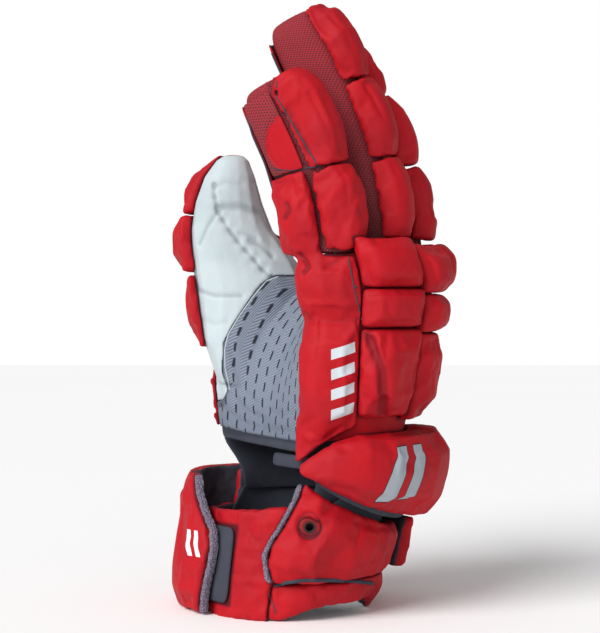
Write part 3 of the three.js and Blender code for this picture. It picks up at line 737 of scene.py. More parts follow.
@dataclass(frozen=True)
class Crease:
    """A fold or seam that shows from the little finger side, as pixels of the photograph."""

    path: tuple[tuple[float, float], ...]
    depth: float
    width: float
    pucker: float = 0.0
    pitch: float = 7 * MM

    def sink(self, places: np.ndarray) -> np.ndarray:
        """How far the surface sinks at each place of the photograph's plane."""
        away, run = path_distance(places, [seen_at(u, v) for u, v in self.path])
        sunk = self.depth * np.exp(-((away / self.width) ** 2))
        ripple = np.cos(run * (2 * math.pi / self.pitch)) * np.exp(-((away / (self.width * 3)) ** 2))
        return sunk + self.pucker * ripple


@dataclass(frozen=True)
class Ease:
    """A soft pull on part of a piece, as cloth is eased along a seam before it is sewn."""

    centre: tuple[float, float, float]
    reach: tuple[float, float, float]
    pull: tuple[float, float, float]

    def shift(self, points: np.ndarray) -> np.ndarray:
        """How far each point is pulled, a row each."""
        away = (points - np.array(self.centre)) / np.array(self.reach)
        return np.exp(-np.sum(away * away, axis=1))[:, None] * np.array(self.pull)


@dataclass
class Piece:
    """One sewn piece that stands for one CAD node, or for several that are sewn into one."""

    node: str
    finish: Finish
    creases: tuple[Crease, ...] = ()
    material: bpy.types.Material | None = None
    joined: tuple[str, ...] = ()
    eases: tuple[Ease, ...] = ()
    print_at: tuple[float, float] | None = None

    @property
    def nodes(self) -> tuple[str, ...]:
        """All CAD nodes that the piece stands for."""
        return (self.node, *self.joined)


@dataclass
class Workroom:
    """The frame, the finishes and the steps that every piece goes through."""

    nodes: dict[str, bpy.types.Object]
    finishes: dict[Finish, bpy.types.Material]
    made: dict[str, bpy.types.Object] = field(default_factory=dict)
    cuff_axis: tuple[float, float] = (-4 * MM, 1 * MM)
    inward: tuple[float, float] = (0.15, 0.35)
    outward: tuple[float, float] = (0.05, 0.45)
    print_reach: float = 3 * MM
    # Reach and width of the painted shade near seams, where a piece meets other pieces.
    seam_shade_reach: float = 6 * MM
    seam_shade_width: float = 2 * MM
    # Crease depth at which the painted shade in a crease is full.
    full_fold: float = 1.2 * MM
    axis_share: float = 0.4
    finger_radius: float = 15 * MM
    tip_blend: float = 0.8 * MM
    merge: float = 0.01 * MM

    def cut_out(self, nodes: Sequence[str], name: str, quads: bool = True) -> bpy.types.Object:
        """Copies the shape of CAD nodes into a new piece.

        Args:
            nodes: The CAD nodes.
            name: Name of the new piece.
            quads: Whether pairs of triangles are joined.

        Returns:
            The piece, with its corners merged.
        """
        nothing_selected()
        copies = []
        for node in nodes:
            copy = bpy.data.objects.new(name, self.nodes[node].data.copy())
            bpy.context.scene.collection.objects.link(copy)
            copy.select_set(True)
            copies.append(copy)
        piece = copies[0]
        bpy.context.view_layer.objects.active = piece
        if len(copies) > 1:
            bpy.ops.object.join()
        hold(piece)
        bpy.ops.object.mode_set(mode="EDIT")
        bpy.ops.mesh.select_all(action="SELECT")
        bpy.ops.mesh.remove_doubles(threshold=self.merge)
        if quads:
            bpy.ops.mesh.tris_convert_to_quads(face_threshold=math.radians(50),
                                               shape_threshold=math.radians(60))
        bpy.ops.object.mode_set(mode="OBJECT")
        return piece

    def grain_of(self, nodes: Sequence[str], points: np.ndarray) -> np.ndarray:
        """Cloth coordinates of points: across and along, in metres.

        Args:
            nodes: The CAD nodes that the cloth stands for.
            points: Points, a row each.

        Returns:
            The coordinates, a row each.
        """
        if nodes[0].endswith(("_sleeve", "_palm")):
            return self._finger_grain(nodes[0].replace("_palm", "_sleeve"), points)
        away = points[:, :2] - self._turning_axis(nodes[0])
        around = np.arctan2(away[:, 1], away[:, 0])
        radius = np.median(np.hypot(away[:, 0], away[:, 1]))
        return np.stack([around * radius, points[:, 2], np.zeros(len(points))], axis=1)

    def _turning_axis(self, node: str) -> np.ndarray:
        """Place in plan that the cloth over a CAD node is measured round."""
        low, high = (np.array(corner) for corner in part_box(node))
        return (low + high)[:2] / 2 * np.array([self.axis_share, 0.0])

    def _finger_grain(self, sleeve: str, points: np.ndarray) -> np.ndarray:
        """Cloth coordinates round a finger's curved middle line."""
        shape = points_of(self.nodes[sleeve])
        bend = np.polyfit(shape[:, 2], shape[:, 0], 2)
        sway = np.polyfit(shape[:, 2], shape[:, 1], 1)
        slope = np.polyval(np.polyder(bend), points[:, 2])
        stretch = np.sqrt(1 + slope * slope)
        off = (points[:, 0] - np.polyval(bend, points[:, 2])) / stretch
        around = np.arctan2(points[:, 1] - np.polyval(sway, points[:, 2]), off)
        return np.stack([around * self.finger_radius, points[:, 2] * stretch, np.zeros(len(points))], axis=1)

    def wrap(self, piece: bpy.types.Object, spec: Piece) -> None:
        """Gives a piece its cloth coordinates, the place of its print and its painted shade near seams.

        Args:
            piece: The piece.
            spec: What it is.
        """
        points = points_of(piece)
        others = surface_of([n for n in self.nodes if n not in spec.nodes], self.nodes)
        away = distances(others, points, self.seam_shade_reach)
        # Painted shade: 1 where the piece meets other pieces, fading out over a few millimetres.
        self.keep(piece, "painted_seam_shade", np.exp(-((away / self.seam_shade_width) ** 1.5)))
        self.keep(piece, "grain", self.grain_of(spec.nodes, points))
        if spec.print_at is not None:
            self.keep(piece, "print", self._print_place(spec, points))

    def _print_place(self, spec: Piece, points: np.ndarray) -> np.ndarray:
        """Cloth coordinates of points, counted from the middle of the print.

        Args:
            spec: What the piece is.
            points: Points, a row each.

        Returns:
            Across and along, in metres, a row each.
        """
        away = np.linalg.norm(view_plane(points) - np.array(seen_at(*spec.print_at)), axis=1)
        near = np.flatnonzero(away < self.print_reach)
        start = points[near[np.argmin(points[near, 1])]]
        axis = self._turning_axis(spec.node)
        first, rest = start[:2] - axis, points[:, :2] - axis
        turn = np.arctan2(first[0] * rest[:, 1] - first[1] * rest[:, 0], rest @ first)
        return np.column_stack([turn * np.hypot(*first), points[:, 2] - start[2], np.zeros(len(points))])

    def keep(self, piece: bpy.types.Object, name: str, values: np.ndarray) -> None:
        """Stores a number or a vector on each point of a piece."""
        vector = values.ndim == 2
        layer = piece.data.attributes.new(name, "FLOAT_VECTOR" if vector else "FLOAT", "POINT")
        layer.data.foreach_set("vector" if vector else "value", values.astype(np.float32).reshape(-1))

    def line_inside(self, piece: bpy.types.Object) -> None:
        """Marks the faces that look inwards, to the wrist, as lining."""
        points = points_of(piece)
        normals = normals_of(piece)
        inwards = np.array(self.cuff_axis) - points[:, :2]
        inwards /= np.maximum(np.linalg.norm(inwards, axis=1), 1e-9)[:, None]
        self.keep(piece, "lining", smooth_step(np.sum(inwards * normals[:, :2], axis=1), *self.inward))

    def darken_above(self, piece: bpy.types.Object, height: float) -> None:
        """Marks the end of a finger's cloth above a height as its dark tip."""
        self.keep(piece, "lining", smooth_step(points_of(piece)[:, 2], height, height + self.tip_blend))

    def ease(self, piece: bpy.types.Object, spec: Piece) -> None:
        """Pulls a piece where its seams are eased."""
        points = points_of(piece)
        if spec.eases:
            set_points(piece, points + sum(ease.shift(points) for ease in spec.eases))

    def sink_creases(self, piece: bpy.types.Object, creases: Sequence[Crease]) -> None:
        """Presses creases into the side of a piece that the photograph shows.

        Args:
            piece: The piece.
            creases: The creases.
        """
        if not creases:
            return
        points = points_of(piece)
        normals = normals_of(piece)
        facing = smooth_step(-normals[:, 1], *self.outward)
        places = view_plane(points)
        sink = sum(crease.sink(places) for crease in creases) * facing
        set_points(piece, points - normals * sink[:, None])
        # The fold attribute is the crease depth, used by the finishes as painted shade in the crease.
        self.keep(piece, "fold", np.clip(sink / self.full_fold, 0, 1))

    def dress(self, piece: bpy.types.Object, spec: Piece) -> None:
        """Gives a piece its finish, fixes it to the frame's root body and hides the CAD nodes that it stands
        for.

        Args:
            piece: The piece.
            spec: What the piece is.
        """
        piece.data.materials.clear()
        piece.data.materials.append(spec.material or self.finishes[spec.finish])
        for polygon in piece.data.polygons:
            polygon.use_smooth = True
            polygon.material_index = 0
        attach(piece, "root")
        if spec.node in self.nodes:
            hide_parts(*spec.nodes)
        self.made[piece.name] = piece
        log.info("%s: %d faces", piece.name, len(piece.data.polygons))


@dataclass
class Foam:
    """How a foam piece under cloth is puffed."""

    room: Workroom
    voxel: float = 1.95 * MM
    relax: int = 2
    pressure: float = 5.0
    slack: float = -0.04
    cap: float = 2.2 * MM
    swell: float = 0.55 * MM
    fuse: float = 1.2 * MM
    frames: int = 12
    wrinkle: float = 0.3 * MM
    wrinkle_size: float = 16 * MM
    sewn_reach: float = 8 * MM
    sewn: float = 1.9 * MM
    mass: float = 0.2
    stiffness: float = 12.0
    bending: float = 0.6
    pending: list[tuple[bpy.types.Object, Piece, float]] = field(default_factory=list)

    def lay(self, spec: Piece, fill: float = 0.8) -> None:
        """Cuts a foam piece and readies it for puffing.

        Args:
            spec: What the piece is.
            fill: How tightly it is stuffed, 0 to 1. Not used.
        """
        piece = self.room.cut_out(spec.nodes, f"{spec.node}_cover")
        if spec.joined:
            grow(piece, self.fuse)
        apply_modifier(piece, "REMESH", mode="VOXEL", voxel_size=self.voxel, adaptivity=0.0)
        if spec.joined:
            grow(piece, -self.fuse)
        apply_modifier(piece, "SMOOTH", factor=0.5, iterations=self.relax)
        grow(piece, self.swell)
        self.room.ease(piece, spec)
        self.pending.append((piece, spec, fill))

    def puff(self) -> None:
        """Swells every pending piece by cloth simulation, and finishes it."""
        starts = {piece.name: points_of(piece) for piece, _, _ in self.pending}
        self._simulate()
        for piece, spec, fill in self.pending:
            hold(piece)
            bpy.ops.object.modifier_apply(modifier="cloth")
            self._cap(piece, starts[piece.name])
            apply_modifier(piece, "SMOOTH", factor=0.5, iterations=1)
            apply_modifier(piece, "SUBSURF", levels=1, render_levels=1)
            self._rumple(piece)
            self.room.sink_creases(piece, spec.creases)
            self.room.wrap(piece, spec)
            self.room.dress(piece, spec)
        self.pending.clear()

    def _simulate(self) -> None:
        """Runs the cloth on all pending pieces at once."""
        for piece, spec, _ in self.pending:
            backing = surface_of([n for n in self.room.nodes if n not in spec.nodes], self.room.nodes)
            away = distances(backing, points_of(piece), self.sewn_reach)
            pins = piece.vertex_groups.new(name="sewn")
            for i in np.flatnonzero(away < self.sewn):
                pins.add([int(i)], 1.0, "REPLACE")
            cloth = piece.modifiers.new("cloth", "CLOTH")
            cloth.settings.quality = 4
            cloth.settings.mass = self.mass
            cloth.settings.tension_stiffness = self.stiffness
            cloth.settings.compression_stiffness = self.stiffness
            cloth.settings.bending_stiffness = self.bending
            cloth.settings.use_pressure = True
            cloth.settings.uniform_pressure_force = self.pressure
            cloth.settings.shrink_min = self.slack
            cloth.settings.vertex_group_mass = "sewn"
            cloth.settings.effector_weights.gravity = 0
            cloth.collision_settings.use_collision = False
            cloth.point_cache.frame_start = 1
            cloth.point_cache.frame_end = self.frames
        for frame in range(1, self.frames + 1):
            bpy.context.scene.frame_set(frame)

    def _cap(self, piece: bpy.types.Object, start: np.ndarray) -> None:
        """Holds each point within the cap of where it started."""
        now = points_of(piece)
        move = now - start
        length = np.linalg.norm(move, axis=1)
        keep = np.minimum(1, self.cap / np.maximum(length, 1e-9))
        set_points(piece, start + move * keep[:, None])

    def _rumple(self, piece: bpy.types.Object) -> None:
        """Adds the slight unevenness of cloth over foam."""
        texture = bpy.data.textures.new(f"{piece.name}_rumple", "CLOUDS")
        texture.noise_scale = self.wrinkle_size
        texture.noise_depth = 2
        apply_modifier(piece, "DISPLACE", texture=texture, texture_coords="LOCAL",
                       strength=self.wrinkle * 2, mid_level=0.5)


@dataclass
class Skin:
    """How a thin piece of cloth, mesh or leather is smoothed."""

    room: Workroom
    voxel: float = 1.25 * MM
    relax: int = 8
    pile_voxel: float = 0.9 * MM
    pile_size: float = 2.2 * MM
    pile_height: float = 0.4 * MM
    narrowest: float = 10.5 * MM

    def finish_sheet(self, piece: bpy.types.Object, spec: Piece) -> None:
        """Creases and dresses a thin piece.

        Args:
            piece: The piece.
            spec: What it is.
        """
        self.room.ease(piece, spec)
        self.room.sink_creases(piece, spec.creases)
        self.room.wrap(piece, spec)
        self.room.dress(piece, spec)
        low, high = (np.array(corner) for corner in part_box(spec.node))

    def stretch(self, spec: Piece, levels: int = 2) -> bpy.types.Object:
        """Makes a piece whose CAD faces lie in even rows.

        Args:
            spec: What the piece is.
            levels: Subdivision levels.

        Returns:
            The piece.
        """
        piece = self.room.cut_out(spec.nodes, f"{spec.node}_cloth")
        apply_modifier(piece, "SUBSURF", levels=levels, render_levels=levels)
        self.finish_sheet(piece, spec)
        return piece

    def mould(self, spec: Piece, fineness: float = 1.0, swell: float = 0.0) -> None:
        """Makes a piece whose CAD faces are uneven, by an even remesh.

        Args:
            spec: What the piece is.
            fineness: How many times finer than usual its faces are.
            swell: How far its faces stand proud of the CAD faces.
        """
        piece = self.room.cut_out(spec.nodes, f"{spec.node}_cloth", quads=False)
        apply_modifier(piece, "REMESH", mode="VOXEL", voxel_size=self.voxel / fineness, adaptivity=0.0)
        apply_modifier(piece, "SMOOTH", factor=0.5, iterations=self.relax)
        grow(piece, swell)
        self.finish_sheet(piece, spec)

    def fluff(self, spec: Piece) -> None:
        """Makes a rounded towelling edge with an uneven pile."""
        piece = self.room.cut_out(spec.nodes, f"{spec.node}_cloth")
        apply_modifier(piece, "REMESH", mode="VOXEL", voxel_size=self.pile_voxel, adaptivity=0.0)
        apply_modifier(piece, "SMOOTH", factor=0.5, iterations=4)
        texture = bpy.data.textures.new(f"{piece.name}_pile", "CLOUDS")
        texture.noise_scale = self.pile_size
        texture.noise_depth = 1
        apply_modifier(piece, "DISPLACE", texture=texture, texture_coords="LOCAL",
                       strength=self.pile_height * 2, mid_level=0.35)
        self.finish_sheet(piece, spec)


@dataclass(frozen=True)
class Trim:
    """A line of thread or piping that shows from the little finger side, as pixels of the photograph."""

    name: str
    path: tuple[tuple[float, float], ...]
    on: tuple[str, ...]
    radius: float
    finish: Finish = Finish.DARK_CLOTH
    knots: tuple[tuple[float, float], ...] = ()


@dataclass
class Thread:
    """How thread and piping are laid on the finished pieces."""

    room: Workroom
    spacing: float = 1.2 * MM
    knot_size: float = 2.2
    knot_lift: float = 0.6
    knot_shape: tuple[float, float, float] = (1.0, 0.6, 0.7)

    def _trees(self, names: Sequence[str]) -> list[BVHTree]:
        """Search trees of finished pieces."""
        graph = bpy.context.evaluated_depsgraph_get()
        return [BVHTree.FromObject(self.room.made[name], graph) for name in names if name in self.room.made]

    def _land(self, place: np.ndarray, trees: Sequence[BVHTree], lift: float = 0.0) -> Vector | None:
        """Finds the nearest surface behind a place of the photograph.

        Args:
            place: Place in the photograph's plane.
            trees: Surfaces to land on.
            lift: Distance off the surface.

        Returns:
            The point, or none where the place misses.
        """
        eye = Vector((VIEW_X, VIEW_PLANE_Y - VIEW_DISTANCE, VIEW_HEIGHT))
        way = (Vector((place[0], VIEW_PLANE_Y, place[1])) - eye).normalized()
        hits = [hit for hit in (tree.ray_cast(eye, way) for tree in trees) if hit[0] is not None]
        if not hits:
            return None
        spot, normal, _, _ = min(hits, key=lambda hit: hit[3])
        return spot + normal * lift

    def lay(self, trim: Trim) -> None:
        """Lays one line, with its knots.

        Args:
            trim: The line.
        """
        trees = self._trees(trim.on)
        corners = np.array([seen_at(u, v) for u, v in trim.path])
        lengths = np.concatenate([[0], np.cumsum(np.linalg.norm(np.diff(corners, axis=0), axis=1))])
        steps = np.arange(0, lengths[-1] + self.spacing / 2, self.spacing)
        places = np.column_stack([np.interp(steps, lengths, corners[:, k]) for k in (0, 1)])
        line = [p for p in (self._land(place, trees) for place in places) if p is not None]
        self.tube(trim.name, line, trim.radius, trim.finish)
        for number, (u, v) in enumerate(trim.knots):
            spot = self._land(np.array(seen_at(u, v)), trees, trim.radius * self.knot_lift)
            if spot is not None:
                name = f"{trim.name}_knot_{number + 1}"
                self._knot(name, spot, trim.radius * self.knot_size, trim.finish)

    def tube(self, name: str, line: Sequence[Vector], radius: float, finish: Finish) -> None:
        """Makes a round tube along a line.

        Args:
            name: Name of the piece.
            line: Points of the line.
            radius: Radius of the tube.
            finish: Finish of the piece.
        """
        nothing_selected()
        bpy.ops.curve.primitive_nurbs_path_add(location=(0, 0, 0))
        piece = bpy.context.active_object
        piece.name = name
        curve = piece.data
        curve.splines.clear()
        spline = curve.splines.new("NURBS")
        spline.points.add(len(line) - 1)
        for point, spot in zip(spline.points, line):
            point.co = (*spot, 1)
        spline.use_endpoint_u = True
        spline.order_u = 4
        spline.resolution_u = 2
        curve.bevel_depth = radius
        curve.bevel_resolution = 2
        curve.use_fill_caps = True
        bpy.ops.object.convert(target="MESH")
        self._finish(bpy.context.active_object, finish)

    def _knot(self, name: str, spot: Vector, radius: float, finish: Finish) -> None:
        """Makes a small bar-tack."""
        nothing_selected()
        bpy.ops.mesh.primitive_uv_sphere_add(segments=14, ring_count=8, radius=radius, location=spot)
        piece = bpy.context.active_object
        piece.name = name
        bpy.ops.transform.resize(value=self.knot_shape, center_override=tuple(spot))
        bpy.ops.object.transform_apply(location=True, rotation=True, scale=True)
        self._finish(piece, finish)

    def _finish(self, piece: bpy.types.Object, finish: Finish) -> None:
        """Wraps and dresses a piece of trim."""
        spec = Piece(piece.name, finish)
        points = points_of(piece)
        self.room.keep(piece, "grain", np.column_stack([points[:, 0], points[:, 2], points[:, 1]]))
        self.room.dress(piece, spec)


FINGERS = ("pinky", "ring", "middle", "index")


@dataclass
class Fingers:
    """Sleeves, palm cloths and foam rolls of the four fingers."""

    foam: Foam
    skin: Skin
    rolls: dict[str, int] = field(default_factory=lambda: {"pinky": 2, "ring": 3, "middle": 3, "index": 3})
    tip: float = 5 * MM
    palm_edge: float = 150.0
    piping: float = 0.55 * MM
    piping_step: float = 3 * MM
    piping_raise: float = 0.1 * MM
    piping_search: float = 22 * MM
    patch_centre: tuple[float, float] = (292, 143)
    patch_reach: tuple[float, float] = (14.5 * MM, 16.5 * MM)
    patch_blend: tuple[float, float] = (0.97, 1.03)
    root_ease: Ease = Ease(centre=(16 * MM, -54 * MM, 200 * MM), reach=(14 * MM, 14 * MM, 11 * MM),
                           pull=(1 * MM, 0.0, -7 * MM))

    def build(self) -> None:
        """Builds every piece of the fingers."""
        for name in FINGERS:
            self.skin.stretch(Piece(f"{name}_sleeve", Finish.FINGER_MESH))
            palm = self.skin.stretch(Piece(f"{name}_palm", Finish.RED_CLOTH))
            self.skin.room.darken_above(palm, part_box(f"{name}_palm")[1][2] - self.tip)
            for number in range(self.rolls[name]):
                eases = (self.root_ease,) if (name, number) == ("pinky", 0) else ()
                self.foam.lay(Piece(f"{name}_roll_{number + 1}", Finish.RED_CLOTH, eases=eases), fill=0.85)
        self._patch()

    def _patch(self) -> None:
        """Builds the side of the little finger's tip: mesh, with a raised half-round of cloth."""
        edge = ((284.4, 113), (275, 119), (269, 128), (266.6, 140), (268, 154), (276, 166))
        seam = Crease(edge, 0.9 * MM, 0.9 * MM)
        room = self.skin.room
        patch = self.skin.stretch(Piece("pinky_patch", Finish.RED_CLOTH, creases=(seam,),
                                        material=room.finishes[Finish.FINGER_MESH]), levels=3)
        away = view_plane(points_of(patch)) - np.array(seen_at(*self.patch_centre))
        inside = np.linalg.norm(away / np.array(self.patch_reach), axis=1)
        room.keep(patch, "plain", 1 - smooth_step(inside, *self.patch_blend))

    def trim(self, thread: Thread) -> None:
        """Lays the piping along the palm edges and the seams of the little finger.

        Args:
            thread: How thread is laid.
        """
        tip = ("pinky_patch_cloth", "pinky_sleeve_cloth", "pinky_roll_2_cover", "side_pad_lower_cover")
        for name in FINGERS:
            for side, turn in (("left", self.palm_edge), ("right", -self.palm_edge)):
                thread.tube(f"{name}_piping_{side}", self._edge(name, math.radians(turn)), self.piping,
                            Finish.DARK_CLOTH)
        seam = ((277, 82), (276.5, 97), (284, 110), (301, 138), (318, 166), (327, 174))
        tacks = ((284.5, 110), (318.5, 166.5), (327, 174))
        thread.lay(Trim("pinky_seam", seam, tip, 0.4 * MM, knots=tacks))
        cross_seam = ((274, 169), (290, 171), (305, 168.5), (318, 166.5))
        thread.lay(Trim("pinky_cross_seam", cross_seam, tip, 0.35 * MM))

    def _edge(self, name: str, turn: float) -> list[Vector]:
        """Line along a finger's sleeve at a turn from its back.

        Args:
            name: The finger.
            turn: Turn in radians.

        Returns:
            Points just off the palm cloth's edge.
        """
        shape = points_of(self.skin.room.nodes[f"{name}_sleeve"])
        tree = surface_of((f"{name}_palm",), self.skin.room.nodes)
        low, high = (corner[2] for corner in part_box(f"{name}_palm"))
        bend = np.polyfit(shape[:, 2], shape[:, 0], 2)
        sway = np.polyfit(shape[:, 2], shape[:, 1], 1)
        line = []
        for height in np.arange(low + self.piping_step, high - self.piping_step, self.piping_step):
            middle = Vector((np.polyval(bend, height), np.polyval(sway, height), height))
            out = Vector((math.cos(turn), math.sin(turn), 0.25 * math.cos(turn)))
            spot, normal, _, _ = tree.find_nearest(middle + out * self.piping_search)
            line.append(spot + normal * self.piping_raise)
        return line


@dataclass
class Hand:
    """Back of the hand with its foam, and the palm."""

    foam: Foam
    skin: Skin
    side_bars: Bars = Bars(centre=(344, 376), size=(42 * MM, 13 * MM), count=4, slant=0.3, share=0.5,
                           upright=False)
    rim_ease: Ease = Ease(centre=(0.0, 0.0, 197 * MM), reach=(1.0, 1.0, 6 * MM), pull=(0.0, 0.0, 5 * MM))
    hem_ease: Ease = Ease(centre=(-62 * MM, -20 * MM, 100 * MM), reach=(19 * MM, 60 * MM, 24 * MM),
                          pull=(0.0, 0.0, 9 * MM))
    tape_ease: Ease = Ease(centre=(-50 * MM, -20 * MM, 100 * MM), reach=(60 * MM, 80 * MM, 60 * MM),
                           pull=(0.0, 0.0, 1.8 * MM))

    def build(self) -> None:
        """Builds every piece of the hand."""
        self.skin.mould(Piece("hand_back", Finish.RED_CLOTH, eases=(self.rim_ease,)), swell=-0.3 * MM)
        valley_line = ((361, 322), (372, 345), (382, 372), (384, 400), (383, 430))
        valley = Crease(valley_line, depth=2.2 * MM, width=2.6 * MM)
        for row in ("knuckle", "low_knuckle", "hand_pad"):
            for column in FINGERS:
                creases = (valley,) if (row, column) == ("hand_pad", "pinky") else ()
                self.foam.lay(Piece(f"{row}_{column}", Finish.RED_CLOTH, creases), fill=0.8)
        self._side(valley)
        self.foam.lay(Piece("radial_pad", Finish.RED_CLOTH), fill=0.6)
        self._palm()
        for number in range(3):
            self.foam.lay(Piece(f"thumb_pad_{number + 1}", Finish.RED_CLOTH), fill=0.85)
        self.foam.lay(Piece("thumb_base_pad", Finish.RED_CLOTH), fill=0.5)

    def _side(self, valley: Crease) -> None:
        """Builds the padded side of the hand, sewn as one cloth from the wrist to the little finger."""
        upper_seam = ((270, 181), (285, 184), (305, 178), (322, 176))
        upper_dimple = ((286, 204), (288, 211), (284, 218))
        corner_fold = ((326, 267), (334, 263), (343, 256))
        gathers = (((318, 246), (318, 253)), ((326, 245), (327, 252)), ((334, 244), (336, 251)))
        hooked_fold = ((300, 255), (306, 261), (308, 267), (303, 273))
        lower_seam = ((304, 320), (325, 321), (345, 322), (358, 319))
        creases = (
            Crease(upper_seam, 0.5 * MM, 1.6 * MM),
            Crease(upper_dimple, 1.6 * MM, 1.6 * MM),
            Crease(corner_fold, 0.7 * MM, 1.4 * MM),
            *(Crease(gather, 0.4 * MM, 1.0 * MM) for gather in gathers),
            Crease(hooked_fold, 1.5 * MM, 1.3 * MM),
            Crease(lower_seam, 0.5 * MM, 1.6 * MM),
            valley,
        )
        material = RedCloth().make("red nylon with side bars", self.side_bars)
        side = Piece("side_pad_lower", Finish.RED_CLOTH, creases, material,
                     joined=("side_pad_middle", "side_pad_upper"), print_at=self.side_bars.centre)
        self.foam.lay(side, fill=0.6)

    def _palm(self) -> None:
        """Builds the leather thumb and palm, the mesh and the tape below it."""
        thumb_seam = ((213.5, 184), (214, 196), (218, 212), (229, 230), (239, 243), (253, 258),
                      (263, 270), (272, 277))
        gusset_seam = ((218, 212), (207, 227), (199, 244))
        crotch_fold = ((218, 207), (241, 206), (262, 213), (276, 232))
        base_fold = ((190, 275), (198, 291), (215, 296), (241, 296))
        upper_wrinkle = ((250, 241), (262, 246), (272, 256))
        middle_wrinkle = ((232, 236), (243, 233), (256, 238))
        lower_wrinkle = ((204, 320), (214, 324), (226, 322))
        edge_wrinkle = ((212, 350), (218, 372), (222, 398))
        tip_wrinkle = ((214, 187), (226, 182), (240, 184))
        creases = (
            Crease(thumb_seam, 1.0 * MM, 1.1 * MM, pucker=0.35 * MM),
            Crease(gusset_seam, 0.8 * MM, 1.4 * MM),
            Crease(crotch_fold, 0.9 * MM, 3.0 * MM),
            Crease(base_fold, 0.8 * MM, 1.6 * MM),
            Crease(upper_wrinkle, 0.8 * MM, 1.8 * MM),
            Crease(middle_wrinkle, 0.6 * MM, 1.8 * MM),
            Crease(lower_wrinkle, 0.5 * MM, 2.0 * MM),
            Crease(edge_wrinkle, 0.5 * MM, 2.4 * MM),
            Crease(tip_wrinkle, 0.5 * MM, 2.2 * MM),
        )
        hem = (self.hem_ease,)
        self.skin.mould(Piece("thumb_leather", Finish.WHITE_LEATHER, creases, eases=hem), fineness=1.4)
        self.skin.mould(Piece("palm_leather", Finish.WHITE_LEATHER, eases=hem), fineness=1.5, swell=0.4 * MM)
        upper_fold = ((232, 352), (236, 372), (243, 390), (254, 403))
        long_fold = ((228, 372), (232, 392), (240, 408), (262, 420))
        hem_fold = ((222, 408), (240, 422), (266, 430), (288, 432))
        short_fold = ((270, 412), (282, 416), (294, 412))
        folds = (
            Crease(upper_fold, 0.9 * MM, 2.0 * MM),
            Crease(long_fold, 1.1 * MM, 2.2 * MM),
            Crease(hem_fold, 0.9 * MM, 2.0 * MM),
            Crease(short_fold, 0.7 * MM, 2.0 * MM),
        )
        self.skin.mould(Piece("palm_mesh", Finish.PALM_MESH, folds, eases=hem), fineness=1.5, swell=0.5 * MM)
        self.skin.stretch(Piece("hem_tape", Finish.DARK_CLOTH, eases=(self.hem_ease, self.tape_ease)))
        self.skin.stretch(Piece("wrist_webbing", Finish.DARK_CLOTH))

    def trim(self, thread: Thread) -> None:
        """Lays the side seam with its bar-tacks, and the thumb's stitching.

        Args:
            thread: How thread is laid.
        """
        side = ("side_pad_lower_cover", "pinky_roll_1_cover", "knuckle_pinky_cover",
                "low_knuckle_pinky_cover", "hand_pad_pinky_cover", "hand_back_cloth", "pinky_sleeve_cloth")
        seam = ((348, 257), (351, 272), (354, 287), (358, 304), (362, 320))
        tacks = ((355, 287), (361.5, 318))
        thread.lay(Trim("side_seam", seam, side, 0.4 * MM, knots=tacks))
        leather = ("thumb_leather_cloth", "palm_leather_cloth", "palm_mesh_cloth")
        edge = ((280, 276), (266.5, 281), (253, 297), (240, 315), (228, 335), (224.7, 350),
                (225, 367.6), (229, 385), (229.5, 390))
        thread.lay(Trim("palm_seam", edge, leather, 0.35 * MM, finish=Finish.WHITE_LEATHER))


